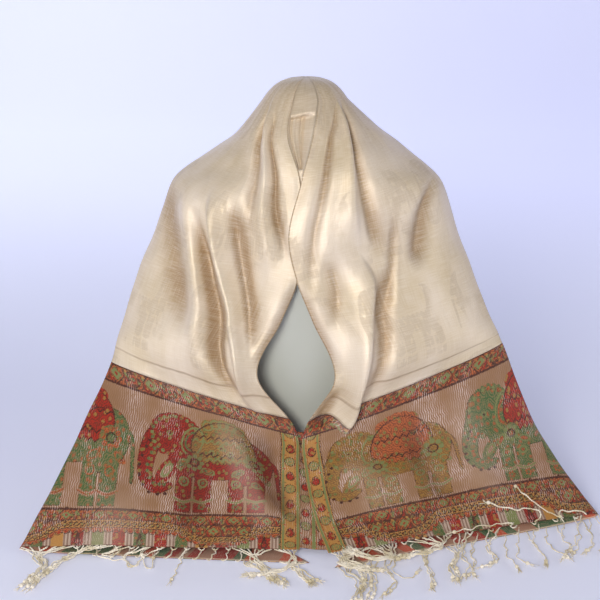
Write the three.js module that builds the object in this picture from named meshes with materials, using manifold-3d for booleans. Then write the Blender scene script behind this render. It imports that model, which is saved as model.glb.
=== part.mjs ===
// A cream pashmina shawl with woven figured ends, draped over a limbless display form.
// The shawl is one long cloth, folded along its length. Its middle covers the form's neck like a hood, and
// its two ends hang in front and splay out on the surface that the form stands on. Each end lies double:
// an upper layer, and an under layer that turns back beneath it at the outer fold.
// Units are millimetres, +Z is up and -Y is the front. The origin is the centre of the form's flat base.
import * as THREE from "three";
import Module from "manifold-3d";
import { mergeVertices } from "three/addons/utils/BufferGeometryUtils.js";

const wasm = await Module();
wasm.setup();

// Driving dimensions of the cloth
const WALL = 2; // thickness of the cloth wall
const SEAM = 0.35; // gap between two stretches of the cloth
const CROWN_TOP = 573; // height of the cloth's middle over the neck
const CROWN_POWER = 3.2; // how flat the crown is before it falls away
const CROWN_SHARE = 0.985; // where the crown stops, as a share of the ring that the stretches start from
const WRAP = 0.06; // share of the back that the front stretch wraps round the outer fold
const LOOP = 9; // least depth of the loop at the outer fold

// Columns across each stretch and rows down it
const FRONT_COLUMNS = 22;
const BACK_COLUMNS = 12;
const FIELD_ROWS = 20;
const END_ROWS = 11;
const CROWN_RINGS = 5;
const GAP_COLUMNS = 4;

// Colours of the plain solids
const CREAM = { color: 0xe3d3b4, roughness: 0.55, metalness: 0 };
const FIGURED = { color: 0x9a6b4a, roughness: 0.6, metalness: 0 };
const FRINGE = { color: 0xe8dcc0, roughness: 0.7, metalness: 0 };
const PLASTIC = { color: 0xe9ebea, roughness: 0.3, metalness: 0 };

// Sections across the cloth, from the crown to the hem. v is the distance from the hem along the cloth.
// inner is the front edge, outer the fold at the side, back the line that the back stretch runs to.
// lean turns the loop at the fold from facing forward (0) to facing up (90). crisp above 1 sharpens the fold.
const section = (v, inner, outer, back, lean, crisp) => ({ v, inner, outer, back, lean, crisp });
const LEFT = [
  section(800, [-19, -46, 545], [-60, 0, 543], [0, 48, 543], 0, 1.0),
  section(745, [-25, -66, 507], [-95, 0, 500], [0, 62, 500], 0, 1.1),
  section(685, [-8, -92, 451], [-140, 0, 466], [0, 80, 450], 0, 1.2),
  section(620, [-8, -110, 390], [-186, 0, 431], [0, 108, 395], 0, 1.15),
  section(540, [-11, -122, 325], [-212, -9, 362], [0, 122, 320], 0, 1.3),
  section(465, [-34, -134, 269], [-236, -26, 300], [0, 130, 230], 0, 1.45),
  section(380, [-66, -146, 197], [-260, -55, 230], [0, 136, 125], 0, 1.5),
  section(300, [-15, -144, 119], [-275, -85, 181], [0, 140, 20], 0, 1.5),
  section(185, [-10, -188, 77], [-305, -140, 122], [-150, 62, 3], 8, 1.5),
  section(75, [-9, -232, 42], [-341, -220, 57], [-152, -112, 2], 55, 1.2),
  section(0, [-9, -276, 7], [-374, -272, 6], [3, -300, 1], 90, 0.4),
];
const RIGHT = [
  section(800, [16, -42, 549], [56, 0, 545], [0, 48, 543], 0, 1.0),
  section(745, [10, -67, 513], [97, 0, 507], [0, 62, 500], 0, 1.1),
  section(685, [-7, -99, 453], [145, 0, 470], [0, 80, 450], 0, 1.2),
  section(620, [-24, -118, 385], [186, 0, 434], [0, 108, 395], 0, 1.15),
  section(540, [-13, -129, 325], [209, -9, 365], [0, 122, 320], 0, 1.3),
  section(465, [8, -139, 272], [236, -28, 299], [0, 130, 230], 0, 1.45),
  section(380, [38, -150, 195], [262, -50, 238], [0, 136, 125], 0, 1.5),
  section(300, [-3, -148, 117], [277, -70, 205], [0, 140, 20], 0, 1.5),
  section(185, [-1, -192, 72], [312, -92, 119], [150, 62, 3], 8, 1.5),
  section(75, [10, -238, 36], [354, -128, 55], [156, -90, 2], 60, 1.2),
  section(0, [28, -285, 6], [399, -178, 6], [36, -312, 1], 90, 0.4),
];
const BAND = 6.8; // the place among the sections where a front meets its woven end
const BACK_BAND = 7; // and where the back meets the under layers
const HEM = 10; // the section at the hem

// Folds that lie on the cloth: crests, or troughs where the rise is below zero. path holds places that a fold
// runs through, each as sections down the cloth and a share across it (0 front edge, 1 outer fold, 2 back
// line). near and far are its half widths as shares, towards the front edge and away from it; nearEnd is what
// near has become at the foot of the path. start and stop are the shares of the path over which it grows and
// fades. sag is how far its foot droops.
function fold({ rise, near, far, path, nearEnd = near, start = 0.3, stop = 0.3, sag = 0 }) {
  return { rise, near, far, path, nearEnd, start, stop, sag };
}

const LEFT_FOLDS = [
  // from the shoulder to the front edge: a sharp crest, the deep trough outside it, and a soft ridge beyond
  fold({ rise: 14, near: 0.06, far: 0.03,
    path: [[2.6, 0.6], [4.05, 0.455], [5.3, 0.25], [5.95, 0.12], [6.7, 0.18], [7.1, 0.12]] }),
  fold({ rise: -10, near: 0.04, far: 0.06,
    path: [[3, 0.68], [4.3, 0.52], [5.6, 0.3], [6.25, 0.23], [6.9, 0.26]] }),
  fold({ rise: 7, near: 0.05, far: 0.07, path: [[2.6, 0.8], [3.8, 0.66], [4.8, 0.54], [6.4, 0.36]] }),
  // a wide hollow under the shoulder, and one between the crest and the front edge
  fold({ rise: -7, near: 0.1, far: 0.1, path: [[2.8, 0.95], [4.3, 0.76], [5.9, 0.5]] }),
  fold({ rise: -8, near: 0.07, far: 0.06, path: [[2.5, 0.44], [3.9, 0.34], [5.1, 0.19], [5.9, 0.06]] }),
  // pleats that come down from the crown beside the front edge
  fold({ rise: 8, near: 0.05, far: 0.05, path: [[0, 0.45], [1, 0.28], [2.3, 0.27], [4.4, 0.15]] }),
  fold({ rise: -6, near: 0.05, far: 0.05, path: [[0.5, 0.42], [2.15, 0.345], [3.8, 0.26]] }),
  fold({ rise: -6, near: 0.03, far: 0.04, path: [[0.6, 0.24], [2.4, 0.19], [3.9, 0.06]] }),
  // the front edge rolls in beside the opening
  fold({ rise: -7, near: 0.035, far: 0.035, path: [[3.9, 0], [6.2, 0]] }),
  // a low ripple on the woven end
  fold({ rise: 6, near: 0.1, far: 0.12, path: [[8, 0.05], [8.7, 0.2]] }),
];
const RIGHT_FOLDS = [
  // the big pleat that leaves the front edge and hangs over the woven end as a pointed tip
  fold({ rise: 21, near: 0.17, far: 0.03, nearEnd: 0.04, start: 0.45, stop: 0.07, sag: 25,
    path: [[3.4, 0.3], [4.3, 0.36], [5.1, 0.285], [6.1, 0.15], [6.7, 0.185], [7.2, 0.19]] }),
  fold({ rise: -6, near: 0.04, far: 0.05, path: [[4, 0.46], [5.4, 0.34], [6.1, 0.26], [6.9, 0.29]] }),
  fold({ rise: -7, near: 0.05, far: 0.05, path: [[3.5, 0.19], [4.4, 0.18], [5.3, 0.12]] }),
  fold({ rise: -8, near: 0.05, far: 0.06, path: [[6.1, 0.05], [6.6, 0.06], [7.1, 0.06]] }),
  // pleats that come down from the crown: one beside the front edge, then a crest with a trough outside it
  fold({ rise: -6, near: 0.03, far: 0.04, path: [[0, 0.4], [1.05, 0.2], [2.75, 0.15], [4.7, 0.04]] }),
  fold({ rise: 7, near: 0.07, far: 0.03, path: [[0.1, 0.42], [1.9, 0.36], [4, 0.33]] }),
  fold({ rise: -8, near: 0.03, far: 0.06, path: [[0.2, 0.5], [1.2, 0.43], [3.05, 0.43], [4.3, 0.45]] }),
  // a short crease on the breast, and the dimple under the shoulder
  fold({ rise: -5, near: 0.035, far: 0.035, path: [[3, 0.57], [3.8, 0.53], [5.3, 0.4]] }),
  fold({ rise: -8, near: 0.05, far: 0.06, path: [[2.7, 0.9], [3.4, 0.74], [4.5, 0.64]] }),
  // the front edge rolls in beside the opening
  fold({ rise: -6, near: 0.035, far: 0.035, path: [[4, 0], [6.2, 0]] }),
  // a low ripple on the woven end
  fold({ rise: 5, near: 0.1, far: 0.12, path: [[8.1, 0.1], [8.9, 0.2]] }),
];
const BACK_FOLDS = [
  fold({ rise: 11, near: 0.07, far: 0.07, path: [[1.6, 1.3], [5.2, 1.26], [7, 1.22]] }),
  fold({ rise: 14, near: 0.06, far: 0.06, path: [[1.2, 1.5], [5.1, 1.47], [7, 1.44]] }),
  fold({ rise: 12, near: 0.06, far: 0.06, path: [[0.8, 1.68], [5, 1.65], [7, 1.66]] }),
  fold({ rise: 15, near: 0.055, far: 0.055, path: [[0.5, 1.86], [7, 1.87]] }),
  fold({ rise: 6, near: 0.1, far: 0.1, path: [[7.3, 1.3], [9, 1.35]] }),
];
const LEAST_FOLD = 0.035; // least half width of a fold that this solid's columns can carry

// The throat: the bit of the hood that shows between the crossing fronts. Rows down it, then how far it
// lies behind them.
const THROAT = [
  { z: 548, left: -16, right: 12, y: -45.5 },
  { z: 536, left: -18, right: 9, y: -49 },
  { z: 522, left: -29, right: 18, y: -54 },
  { z: 500, left: -34, right: 18, y: -62 },
  { z: 476, left: -28, right: 12, y: -73 },
  { z: 452, left: -20, right: 4, y: -84 },
];

// The display form, from its flat base to the top of its neck
const FORM = [
  { z: 0, wide: 116, deep: 82 },
  { z: 6, wide: 122, deep: 88 },
  { z: 100, wide: 126, deep: 90 },
  { z: 200, wide: 138, deep: 95 },
  { z: 290, wide: 156, deep: 102 },
  { z: 355, wide: 169, deep: 100 },
  { z: 400, wide: 177, deep: 90 },
  { z: 426, wide: 177, deep: 77 },
  { z: 440, wide: 166, deep: 69 },
  { z: 451, wide: 142, deep: 62 },
  { z: 461, wide: 108, deep: 56 },
  { z: 473, wide: 78, deep: 51 },
  { z: 492, wide: 57, deep: 47 },
  { z: 525, wide: 48, deep: 42 },
  { z: 548, wide: 45, deep: 39 },
  { z: 560, wide: 37, deep: 33 },
  { z: 567.5, wide: 27, deep: 25 },
  { z: 570.6, wide: 16, deep: 15 },
];
const FORM_TOP = 571.2;
const FORM_SIDES = 40;

// Fringe: tassels that leave a narrow strip just off each hem. The tassels of the two layers of an end take
// turns, so that those of the upper layer can come down between those of the under layer.
const TASSELS = 18; // tassels on the hem of each layer
const TASSEL_RADIUS = 1.9;
const STRIP_GAP = 0.7; // from the hem to the strip
const STRIP_DEEP = 3;
const STRIP_WALL = 1.6;
const ROOT_DEPTH = 2; // how far from the hem a tassel leaves the strip
const CLEARANCE = 0.25; // from the floor to a tassel that lies on it
const RESTING = TASSEL_RADIUS * Math.SQRT1_2 + CLEARANCE;
// The course of a tassel: how far it has run from the hem, and its height there
const UPPER_COURSE = [[14, 6.6], [44, 6.4], [59, 4], [72, RESTING]];
const UNDER_COURSE = [[16, RESTING], [40, RESTING], [58, RESTING], [73, RESTING]];
// Where the tassels point at the inner and at the outer end of a hem, in degrees turned outward from -Y
const LEFT_AIM = [-3, 10];
const RIGHT_AIM = [6, 16];
const SWAY = 3; // and how far they wander from that, in slow waves along the hem
const SWAY_WAVES = 1.4;

const vec = (p) => new THREE.Vector3(p[0], p[1], p[2]);
const mix = (a, b, s) => a + (b - a) * s;

// A smooth value through the numbers of one column, at place t.
function through(values, t) {
  const i = Math.min(Math.max(Math.floor(t), 0), values.length - 2);
  const s = t - i;
  const at = (k) => values[Math.min(Math.max(k, 0), values.length - 1)];
  const slope0 = (at(i + 1) - at(i - 1)) / 2;
  const slope1 = (at(i + 2) - at(i)) / 2;
  const s2 = s * s;
  const s3 = s2 * s;
  const ends = (2 * s3 - 3 * s2 + 1) * at(i) + (3 * s2 - 2 * s3) * at(i + 1);
  return ends + (s3 - 2 * s2 + s) * slope0 + (s3 - s2) * slope1;
}

function sectionAt(table, t) {
  const column = (pick) => through(table.map(pick), t);
  const point = (name) => vec([0, 1, 2].map((k) => column((row) => row[name][k])));
  return {
    inner: point("inner"),
    outer: point("outer"),
    back: point("back"),
    lean: THREE.MathUtils.degToRad(column((row) => row.lean)),
    crisp: column((row) => row.crisp),
  };
}

// A quarter of a superellipse from start to the fold, which it reaches along the loop's direction.
function quarter(start, end, loop, reach, crisp, steps) {
  const corner = end.clone().addScaledVector(loop, reach);
  const centre = start.clone().add(end).sub(corner);
  const points = [];
  for (let i = 0; i <= steps; i++) {
    const angle = ((i / steps) * Math.PI) / 2;
    const a = Math.pow(Math.cos(angle) + 1e-12, crisp);
    const b = Math.pow(Math.sin(angle) + 1e-12, crisp);
    const p = centre.clone();
    p.addScaledVector(start.clone().sub(centre), i === steps ? 0 : a);
    p.addScaledVector(end.clone().sub(centre), i === 0 ? 0 : b);
    points.push(p);
  }
  return points;
}

const ARC_STEPS = 60;
const arcCache = new Map();

// The front arc and the back arc of one section, each with its running length.
function arcs(table, t) {
  const key = `${table === LEFT}${t.toFixed(5)}`;
  if (arcCache.has(key)) return arcCache.get(key);
  const row = sectionAt(table, t);
  const loop = new THREE.Vector3(0, -Math.cos(row.lean), Math.sin(row.lean));
  const ahead = Math.max(row.inner.clone().sub(row.outer).dot(loop), LOOP / 2);
  const behind = Math.max(row.outer.clone().sub(row.back).dot(loop), LOOP / 2);
  const front = quarter(row.inner, row.outer, loop, ahead, row.crisp, ARC_STEPS);
  const back = quarter(row.back, row.outer, loop, -behind, row.crisp, ARC_STEPS).reverse();
  const made = [front, back].map((points) => {
    const run = [0];
    for (let i = 1; i < points.length; i++) run.push(run[i - 1] + points[i].distanceTo(points[i - 1]));
    return { points, run };
  });
  arcCache.set(key, made);
  return made;
}

// A point of the smooth cloth, before its folds: q from 0 to 1 on the front arc and from 1 to 2 on the back.
function plainPoint(table, t, q) {
  const arc = arcs(table, t)[q <= 1 ? 0 : 1];
  const share = q <= 1 ? q : q - 1;
  const want = Math.min(Math.max(share, 0), 1) * arc.run[ARC_STEPS];
  let i = 1;
  while (i < ARC_STEPS && arc.run[i] < want) i++;
  const s = (want - arc.run[i - 1]) / Math.max(arc.run[i] - arc.run[i - 1], 1e-9);
  return arc.points[i - 1].clone().lerp(arc.points[i], s);
}

const ease = (s) => THREE.MathUtils.smoothstep(s, 0, 1);

// How high the folds stand and how far they sag at a place.
function foldsAt(folds, t, q) {
  const sum = { rise: 0, sag: 0 };
  for (const f of folds) {
    const [from, to] = [f.path[0][0], f.path[f.path.length - 1][0]];
    if (t <= from || t >= to) continue;
    let i = 0;
    while (f.path[i + 1][0] < t) i++;
    const place = i + (t - f.path[i][0]) / (f.path[i + 1][0] - f.path[i][0]);
    const offset = q - through(f.path.map((row) => row[1]), place);
    const along = (t - from) / (to - from);
    const width = offset < 0 ? mix(f.near, f.nearEnd, along) : f.far;
    const across = offset / Math.max(width, LEAST_FOLD);
    const share = ease(along / f.start) * ease((1 - along) / f.stop) * Math.exp(-across * across);
    sum.rise += f.rise * share;
    sum.sag += f.sag * share * ease((along - 0.6) / 0.4);
  }
  return sum;
}

// A point of the draped cloth, moved out along the plain surface's normal by its folds.
function clothPoint(table, folds, t, q) {
  const p = plainPoint(table, t, q);
  const step = 0.02;
  const last = table.length - 1;
  const between = (t0, q0, t1, q1) => plainPoint(table, t1, q1).sub(plainPoint(table, t0, q0));
  const down = between(Math.max(t - step, 0), q, Math.min(t + step, last), q);
  const over = between(t, Math.max(q - step, 0), t, Math.min(q + step, 2));
  const normal = over.cross(down).normalize();
  if (table === RIGHT) normal.negate();
  const { rise, sag } = foldsAt(folds, t, q);
  p.addScaledVector(normal, rise);
  p.z = Math.max(p.z - sag, WALL / 2); // cloth on the floor lies flat
  return p;
}

// A closed wall of even thickness over point(t, q), at the given rows t and the columns q of each row.
// Its underside never reaches below the floor.
function wall(rowPlaces, columnPlaces, point, thickness = WALL) {
  const small = 0.004;
  const middles = [];
  for (const t of rowPlaces) {
    for (const q of columnPlaces(t)) {
      const down = point(t + small, q).sub(point(t - small, q));
      const over = point(t, q + small).sub(point(t, q - small));
      middles.push({ at: point(t, q), facing: over.cross(down).normalize() });
    }
  }
  const rows = rowPlaces.length;
  const columns = middles.length / rows;
  const vertices = [];
  for (const side of [thickness / 2, -thickness / 2]) {
    for (const { at, facing } of middles) {
      const p = at.clone().addScaledVector(facing, side);
      vertices.push(p.x, p.y, Math.max(p.z, 0));
    }
  }
  const id = (layer, i, j) => layer * rows * columns + i * columns + j;
  const faces = [];
  const corner = (k) => new THREE.Vector3().fromArray(vertices, k * 3);
  const apart = (a, b) => corner(a).distanceToSquared(corner(b));
  // Each quad is cut along its shorter diagonal, so that the walls either side of a seam are cut alike.
  const quad = (a, b, c, d) => {
    const isCutFromA = apart(a, c) < apart(b, d);
    faces.push(...(isCutFromA ? [a, b, c, a, c, d] : [b, c, d, b, d, a]));
  };
  for (let i = 0; i < rows - 1; i++) {
    for (let j = 0; j < columns - 1; j++) {
      quad(id(0, i, j), id(0, i, j + 1), id(0, i + 1, j + 1), id(0, i + 1, j));
      quad(id(1, i, j), id(1, i + 1, j), id(1, i + 1, j + 1), id(1, i, j + 1));
    }
  }
  for (let j = 0; j < columns - 1; j++) {
    quad(id(0, 0, j), id(1, 0, j), id(1, 0, j + 1), id(0, 0, j + 1));
    quad(id(0, rows - 1, j + 1), id(1, rows - 1, j + 1), id(1, rows - 1, j), id(0, rows - 1, j));
  }
  for (let i = 0; i < rows - 1; i++) {
    quad(id(0, i + 1, 0), id(1, i + 1, 0), id(1, i, 0), id(0, i, 0));
    quad(id(0, i, columns - 1), id(1, i, columns - 1), id(1, i + 1, columns - 1), id(0, i + 1, columns - 1));
  }
  return solid(vertices, faces);
}

// A geometry from corner points and triangles, turned so that its faces point out.
function solid(vertices, faces) {
  let volume = 0;
  const corner = (k) => new THREE.Vector3().fromArray(vertices, faces[k] * 3);
  for (let k = 0; k < faces.length; k += 3) {
    volume += corner(k).dot(corner(k + 1).cross(corner(k + 2)));
  }
  const geometry = new THREE.BufferGeometry();
  geometry.setAttribute("position", new THREE.Float32BufferAttribute(vertices, 3));
  geometry.setIndex(volume > 0 ? faces : faces.slice().reverse());
  return geometry;
}

// Evenly spaced values from a to b.
const steps = (a, b, count) => Array.from({ length: count + 1 }, (_, i) => mix(a, b, i / count));

// The share across a section that lies a given distance along it.
const shareOf = (table, t, part, distance) => distance / arcs(table, t)[part].run[ARC_STEPS];

const SECTION_SPAN = 50; // least distance between two sections at the seams
const fieldPlaces = () => steps(SEAM / SECTION_SPAN, BAND, FIELD_ROWS);
const backPlaces = () => [...fieldPlaces(), BACK_BAND];
const underPlaces = () => steps(BACK_BAND + SEAM / SECTION_SPAN, HEM, END_ROWS);
const endPlaces = () => [BAND + SEAM / SECTION_SPAN, ...underPlaces()];

function frontStretch(table, folds, rowPlaces) {
  const across = steps(0, 1 + WRAP, FRONT_COLUMNS);
  return wall(rowPlaces, () => across, (t, q) => clothPoint(table, folds, t, q));
}

const backStart = (table, t) => 1 + WRAP + shareOf(table, t, 1, SEAM);

// The back hangs from the left seam over the middle to the right one: w from -1 to 1.
function backStretch() {
  const point = (t, w) => {
    const table = w < 0 ? LEFT : RIGHT;
    const middle = 0.02; // either side of the middle line, the two halves run into each other
    if (Math.abs(w) < middle) return point(t, -middle).lerp(point(t, middle), (w + middle) / (2 * middle));
    return clothPoint(table, BACK_FOLDS, t, mix(2, backStart(table, t), Math.min(Math.abs(w), 1.05)));
  };
  const across = steps(-1, 1, 2 * BACK_COLUMNS);
  return wall(backPlaces(), () => across, point);
}

function underStretch(table) {
  const across = (t) => steps(backStart(table, t), 2, BACK_COLUMNS);
  return wall(underPlaces(), across, (t, q) => clothPoint(table, BACK_FOLDS, t, q));
}

// A point on the hem of one layer and the way that the cloth runs there, at a share from its outer end.
function hemAt(table, folds, isUnder, share) {
  const q = isUnder ? mix(backStart(table, HEM), 2, share) : mix(1 + WRAP, 0, share);
  const justBefore = HEM - 0.02;
  const at = clothPoint(table, folds, HEM, q);
  const onward = at.clone().sub(clothPoint(table, folds, justBefore, q)).normalize();
  return { at, onward };
}

// The line on the floor that a tassel keeps to, from a place between the outer end (0) and the inner end (1).
function tasselLine(table, aim, place) {
  const start = plainPoint(table, HEM, 1).lerp(plainPoint(table, HEM, 0), place);
  const side = table === LEFT ? -1 : 1;
  const sway = SWAY * Math.sin(2 * Math.PI * SWAY_WAVES * place);
  const angle = THREE.MathUtils.degToRad(mix(aim[1], aim[0], place) + sway);
  return { start, way: vec([side * Math.sin(angle), -Math.cos(angle), 0]) };
}

// The share of a hem at which a tassel's line crosses it.
function crossing(line, pointAt) {
  const across = vec([line.way.y, -line.way.x, 0]);
  const offset = (share) => pointAt(share).sub(line.start).dot(across);
  let low = 0;
  let high = 1;
  const rising = offset(high) > offset(low);
  for (let k = 0; k < 24; k++) {
    const half = (low + high) / 2;
    if (offset(half) > 0 === rising) high = half;
    else low = half;
  }
  return low;
}

// A tube with four sides through the given points.
function tube(points, radius) {
  const vertices = [];
  const sides = 4;
  points.forEach((p, i) => {
    const ahead = points[Math.min(i + 1, points.length - 1)];
    const behind = points[Math.max(i - 1, 0)];
    const along = ahead.clone().sub(behind).normalize();
    const across = along.clone().cross(vec([0, 0, 1])).normalize();
    const up = across.clone().cross(along);
    for (let k = 0; k < sides; k++) {
      const angle = ((k + 0.5) / sides) * 2 * Math.PI;
      const out = across.clone().multiplyScalar(Math.cos(angle)).addScaledVector(up, Math.sin(angle));
      vertices.push(...p.clone().addScaledVector(out, radius).toArray());
    }
  });
  const id = (i, k) => i * sides + (k % sides);
  const faces = [];
  for (let i = 0; i < points.length - 1; i++) {
    for (let k = 0; k < sides; k++) {
      faces.push(id(i, k), id(i, k + 1), id(i + 1, k + 1), id(i, k), id(i + 1, k + 1), id(i + 1, k));
    }
  }
  const last = points.length - 1;
  faces.push(id(0, 0), id(0, 2), id(0, 1), id(0, 0), id(0, 3), id(0, 2));
  faces.push(id(last, 0), id(last, 1), id(last, 2), id(last, 0), id(last, 2), id(last, 3));
  return solid(vertices, faces);
}

// The fringe of one layer: a strip just beyond the hem, with the tassels fused to it.
function fringe(table, folds, isUnder, aim, course) {
  const least = CLEARANCE + STRIP_WALL / 2; // height of the strip's middle where it lies on the floor
  const onStrip = (distance, share) => {
    const { at, onward } = hemAt(table, folds, isUnder, share);
    const p = at.addScaledVector(onward, distance);
    p.z = Math.max(p.z, least);
    return p;
  };
  const rows = [STRIP_GAP, STRIP_GAP + STRIP_DEEP];
  const columns = isUnder ? steps(0, 1, BACK_COLUMNS) : steps(0, 1, FRONT_COLUMNS).slice(2);
  let made = toManifold(wall(rows, () => columns, onStrip, STRIP_WALL));
  for (let k = 0; k < TASSELS; k++) {
    const line = tasselLine(table, aim, (k + (isUnder ? 1 : 0.5)) / TASSELS);
    const rootAt = (share) => onStrip(ROOT_DEPTH, share);
    const root = rootAt(crossing(line, rootAt));
    root.z = Math.max(root.z, RESTING);
    const points = course.map(([run, z]) => {
      const p = root.clone().addScaledVector(line.way, run);
      return p.setZ(z);
    });
    made = made.add(toManifold(tube([root, ...points], TASSEL_RADIUS)));
  }
  return fromManifold(made);
}

// The closed ring where the crown ends and the stretches below begin.
function crownEdge() {
  const frontEdge = (table) => steps(0, 1 + WRAP, FRONT_COLUMNS).map((q) => plainPoint(table, 0, q));
  const backEdge = (table) => steps(backStart(table, 0), 2, BACK_COLUMNS).map((q) => plainPoint(table, 0, q));
  const leftFront = frontEdge(LEFT);
  const leftBack = backEdge(LEFT);
  const rightBack = backEdge(RIGHT).reverse();
  const rightFront = frontEdge(RIGHT).reverse();
  const from = rightFront[rightFront.length - 1];
  const to = leftFront[0];
  const bow = 4; // how far the middle of the forehead stands proud of its ends
  const forehead = steps(0, 1, GAP_COLUMNS)
    .slice(1, -1)
    .map((s) => from.clone().lerp(to, s).add(vec([0, -bow * Math.sin(Math.PI * s), 0])));
  return [...leftFront, ...leftBack, ...rightBack.slice(1), ...rightFront, ...forehead];
}

function crown() {
  const edge = crownEdge();
  const top = vec([0, 0, CROWN_TOP]);
  const ring = (share) =>
    edge.map((p) => {
      const z = CROWN_TOP - (CROWN_TOP - p.z) * Math.pow(share, CROWN_POWER);
      return vec([p.x * share, p.y * share, z]);
    });
  const rings = steps(0, CROWN_SHARE, CROWN_RINGS).slice(1).map(ring);
  const count = edge.length;
  const vertices = [];
  const layer = (side) => {
    const height = (p, share) => {
      const fall = ((CROWN_TOP - p.z) * CROWN_POWER) / Math.max(share, 0.2);
      const reach = Math.hypot(p.x, p.y) / share;
      const tilt = Math.hypot(1, fall / reach);
      const out = fall / reach / tilt;
      const flat = Math.hypot(p.x, p.y);
      return vec([p.x + (p.x / flat) * out * side, p.y + (p.y / flat) * out * side, p.z + side / tilt]);
    };
    const start = vertices.length / 3;
    vertices.push(top.x, top.y, top.z + side);
    rings.forEach((points, k) => {
      points.forEach((p) => vertices.push(...height(p, (k + 1) / CROWN_RINGS).toArray()));
    });
    return start;
  };
  const upper = layer(WALL / 2);
  const lower = layer(-WALL / 2);
  const id = (start, ringIndex, j) => start + 1 + ringIndex * count + (j % count);
  const faces = [];
  for (let j = 0; j < count; j++) {
    faces.push(upper, id(upper, 0, j + 1), id(upper, 0, j));
    faces.push(lower, id(lower, 0, j), id(lower, 0, j + 1));
    for (let k = 0; k < CROWN_RINGS - 1; k++) {
      faces.push(id(upper, k, j), id(upper, k, j + 1), id(upper, k + 1, j + 1));
      faces.push(id(upper, k, j), id(upper, k + 1, j + 1), id(upper, k + 1, j));
      faces.push(id(lower, k, j), id(lower, k + 1, j + 1), id(lower, k, j + 1));
      faces.push(id(lower, k, j), id(lower, k + 1, j), id(lower, k + 1, j + 1));
    }
    const k = CROWN_RINGS - 1;
    faces.push(id(upper, k, j), id(upper, k, j + 1), id(lower, k, j + 1));
    faces.push(id(upper, k, j), id(lower, k, j + 1), id(lower, k, j));
  }
  return solid(vertices, faces);
}

function throat() {
  const columns = 5;
  const column = (name, t) => through(THROAT.map((row) => row[name]), t);
  const down = steps(0, THROAT.length - 1, THROAT.length - 1);
  const across = steps(0, 1, columns);
  const point = (t, q) => {
    const x = mix(column("left", t), column("right", t), q);
    return vec([x, column("y", t), column("z", t)]);
  };
  return wall(down, () => across, point);
}

function displayForm() {
  const vertices = [0, 0, 0];
  for (const row of FORM) {
    for (let j = 0; j < FORM_SIDES; j++) {
      const angle = (j / FORM_SIDES) * 2 * Math.PI;
      vertices.push(row.wide * Math.cos(angle), row.deep * Math.sin(angle), row.z);
    }
  }
  vertices.push(0, 0, FORM_TOP);
  const id = (i, j) => 1 + i * FORM_SIDES + (j % FORM_SIDES);
  const topId = 1 + FORM.length * FORM_SIDES;
  const faces = [];
  for (let j = 0; j < FORM_SIDES; j++) {
    faces.push(0, id(0, j + 1), id(0, j));
    for (let i = 0; i < FORM.length - 1; i++) {
      faces.push(id(i, j), id(i, j + 1), id(i + 1, j + 1));
      faces.push(id(i, j), id(i + 1, j + 1), id(i + 1, j));
    }
    faces.push(id(FORM.length - 1, j), id(FORM.length - 1, j + 1), topId);
  }
  return solid(vertices, faces);
}

// manifold-3d solids and back
function toManifold(geometry) {
  const bare = new THREE.BufferGeometry();
  bare.setAttribute("position", geometry.getAttribute("position").clone());
  if (geometry.index) bare.setIndex(geometry.index.clone());
  const merged = mergeVertices(bare, 1e-4);
  return new wasm.Manifold(
    new wasm.Mesh({
      numProp: 3,
      vertProperties: new Float32Array(merged.getAttribute("position").array),
      triVerts: new Uint32Array(merged.index.array),
    }),
  );
}

function fromManifold(manifold) {
  const mesh = manifold.getMesh();
  const geometry = new THREE.BufferGeometry();
  geometry.setAttribute("position", new THREE.BufferAttribute(mesh.vertProperties, 3));
  geometry.setIndex(new THREE.BufferAttribute(mesh.triVerts, 1));
  return geometry;
}

const group = new THREE.Group();
function piece(name, geometry, look) {
  const mesh = new THREE.Mesh(geometry, new THREE.MeshStandardMaterial(look));
  mesh.name = name;
  group.add(mesh);
}

piece("form", displayForm(), PLASTIC);
const hood = toManifold(crown()).add(toManifold(throat()));
piece("hood", fromManifold(hood), CREAM);
piece("front_left", frontStretch(LEFT, LEFT_FOLDS, fieldPlaces()), CREAM);
piece("front_right", frontStretch(RIGHT, RIGHT_FOLDS, fieldPlaces()), CREAM);
piece("back", backStretch(), CREAM);
piece("end_left", frontStretch(LEFT, LEFT_FOLDS, endPlaces()), FIGURED);
piece("end_right", frontStretch(RIGHT, RIGHT_FOLDS, endPlaces()), FIGURED);
piece("under_left", underStretch(LEFT), FIGURED);
piece("under_right", underStretch(RIGHT), FIGURED);
piece("fringe_left", fringe(LEFT, LEFT_FOLDS, false, LEFT_AIM, UPPER_COURSE), FRINGE);
piece("fringe_right", fringe(RIGHT, RIGHT_FOLDS, false, RIGHT_AIM, UPPER_COURSE), FRINGE);
piece("fringe_under_left", fringe(LEFT, BACK_FOLDS, true, LEFT_AIM, UNDER_COURSE), FRINGE);
piece("fringe_under_right", fringe(RIGHT, BACK_FOLDS, true, RIGHT_AIM, UNDER_COURSE), FRINGE);

export default group;
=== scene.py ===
"""A cream pashmina shawl with woven figured ends, draped over a limbless display form.

The cloth is worked out in millimetres from the same sections and folds as the solids, more finely, and
turned into metres when a mesh is made. +Z is up and the front faces -Y.
"""
import math
from collections import namedtuple

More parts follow.
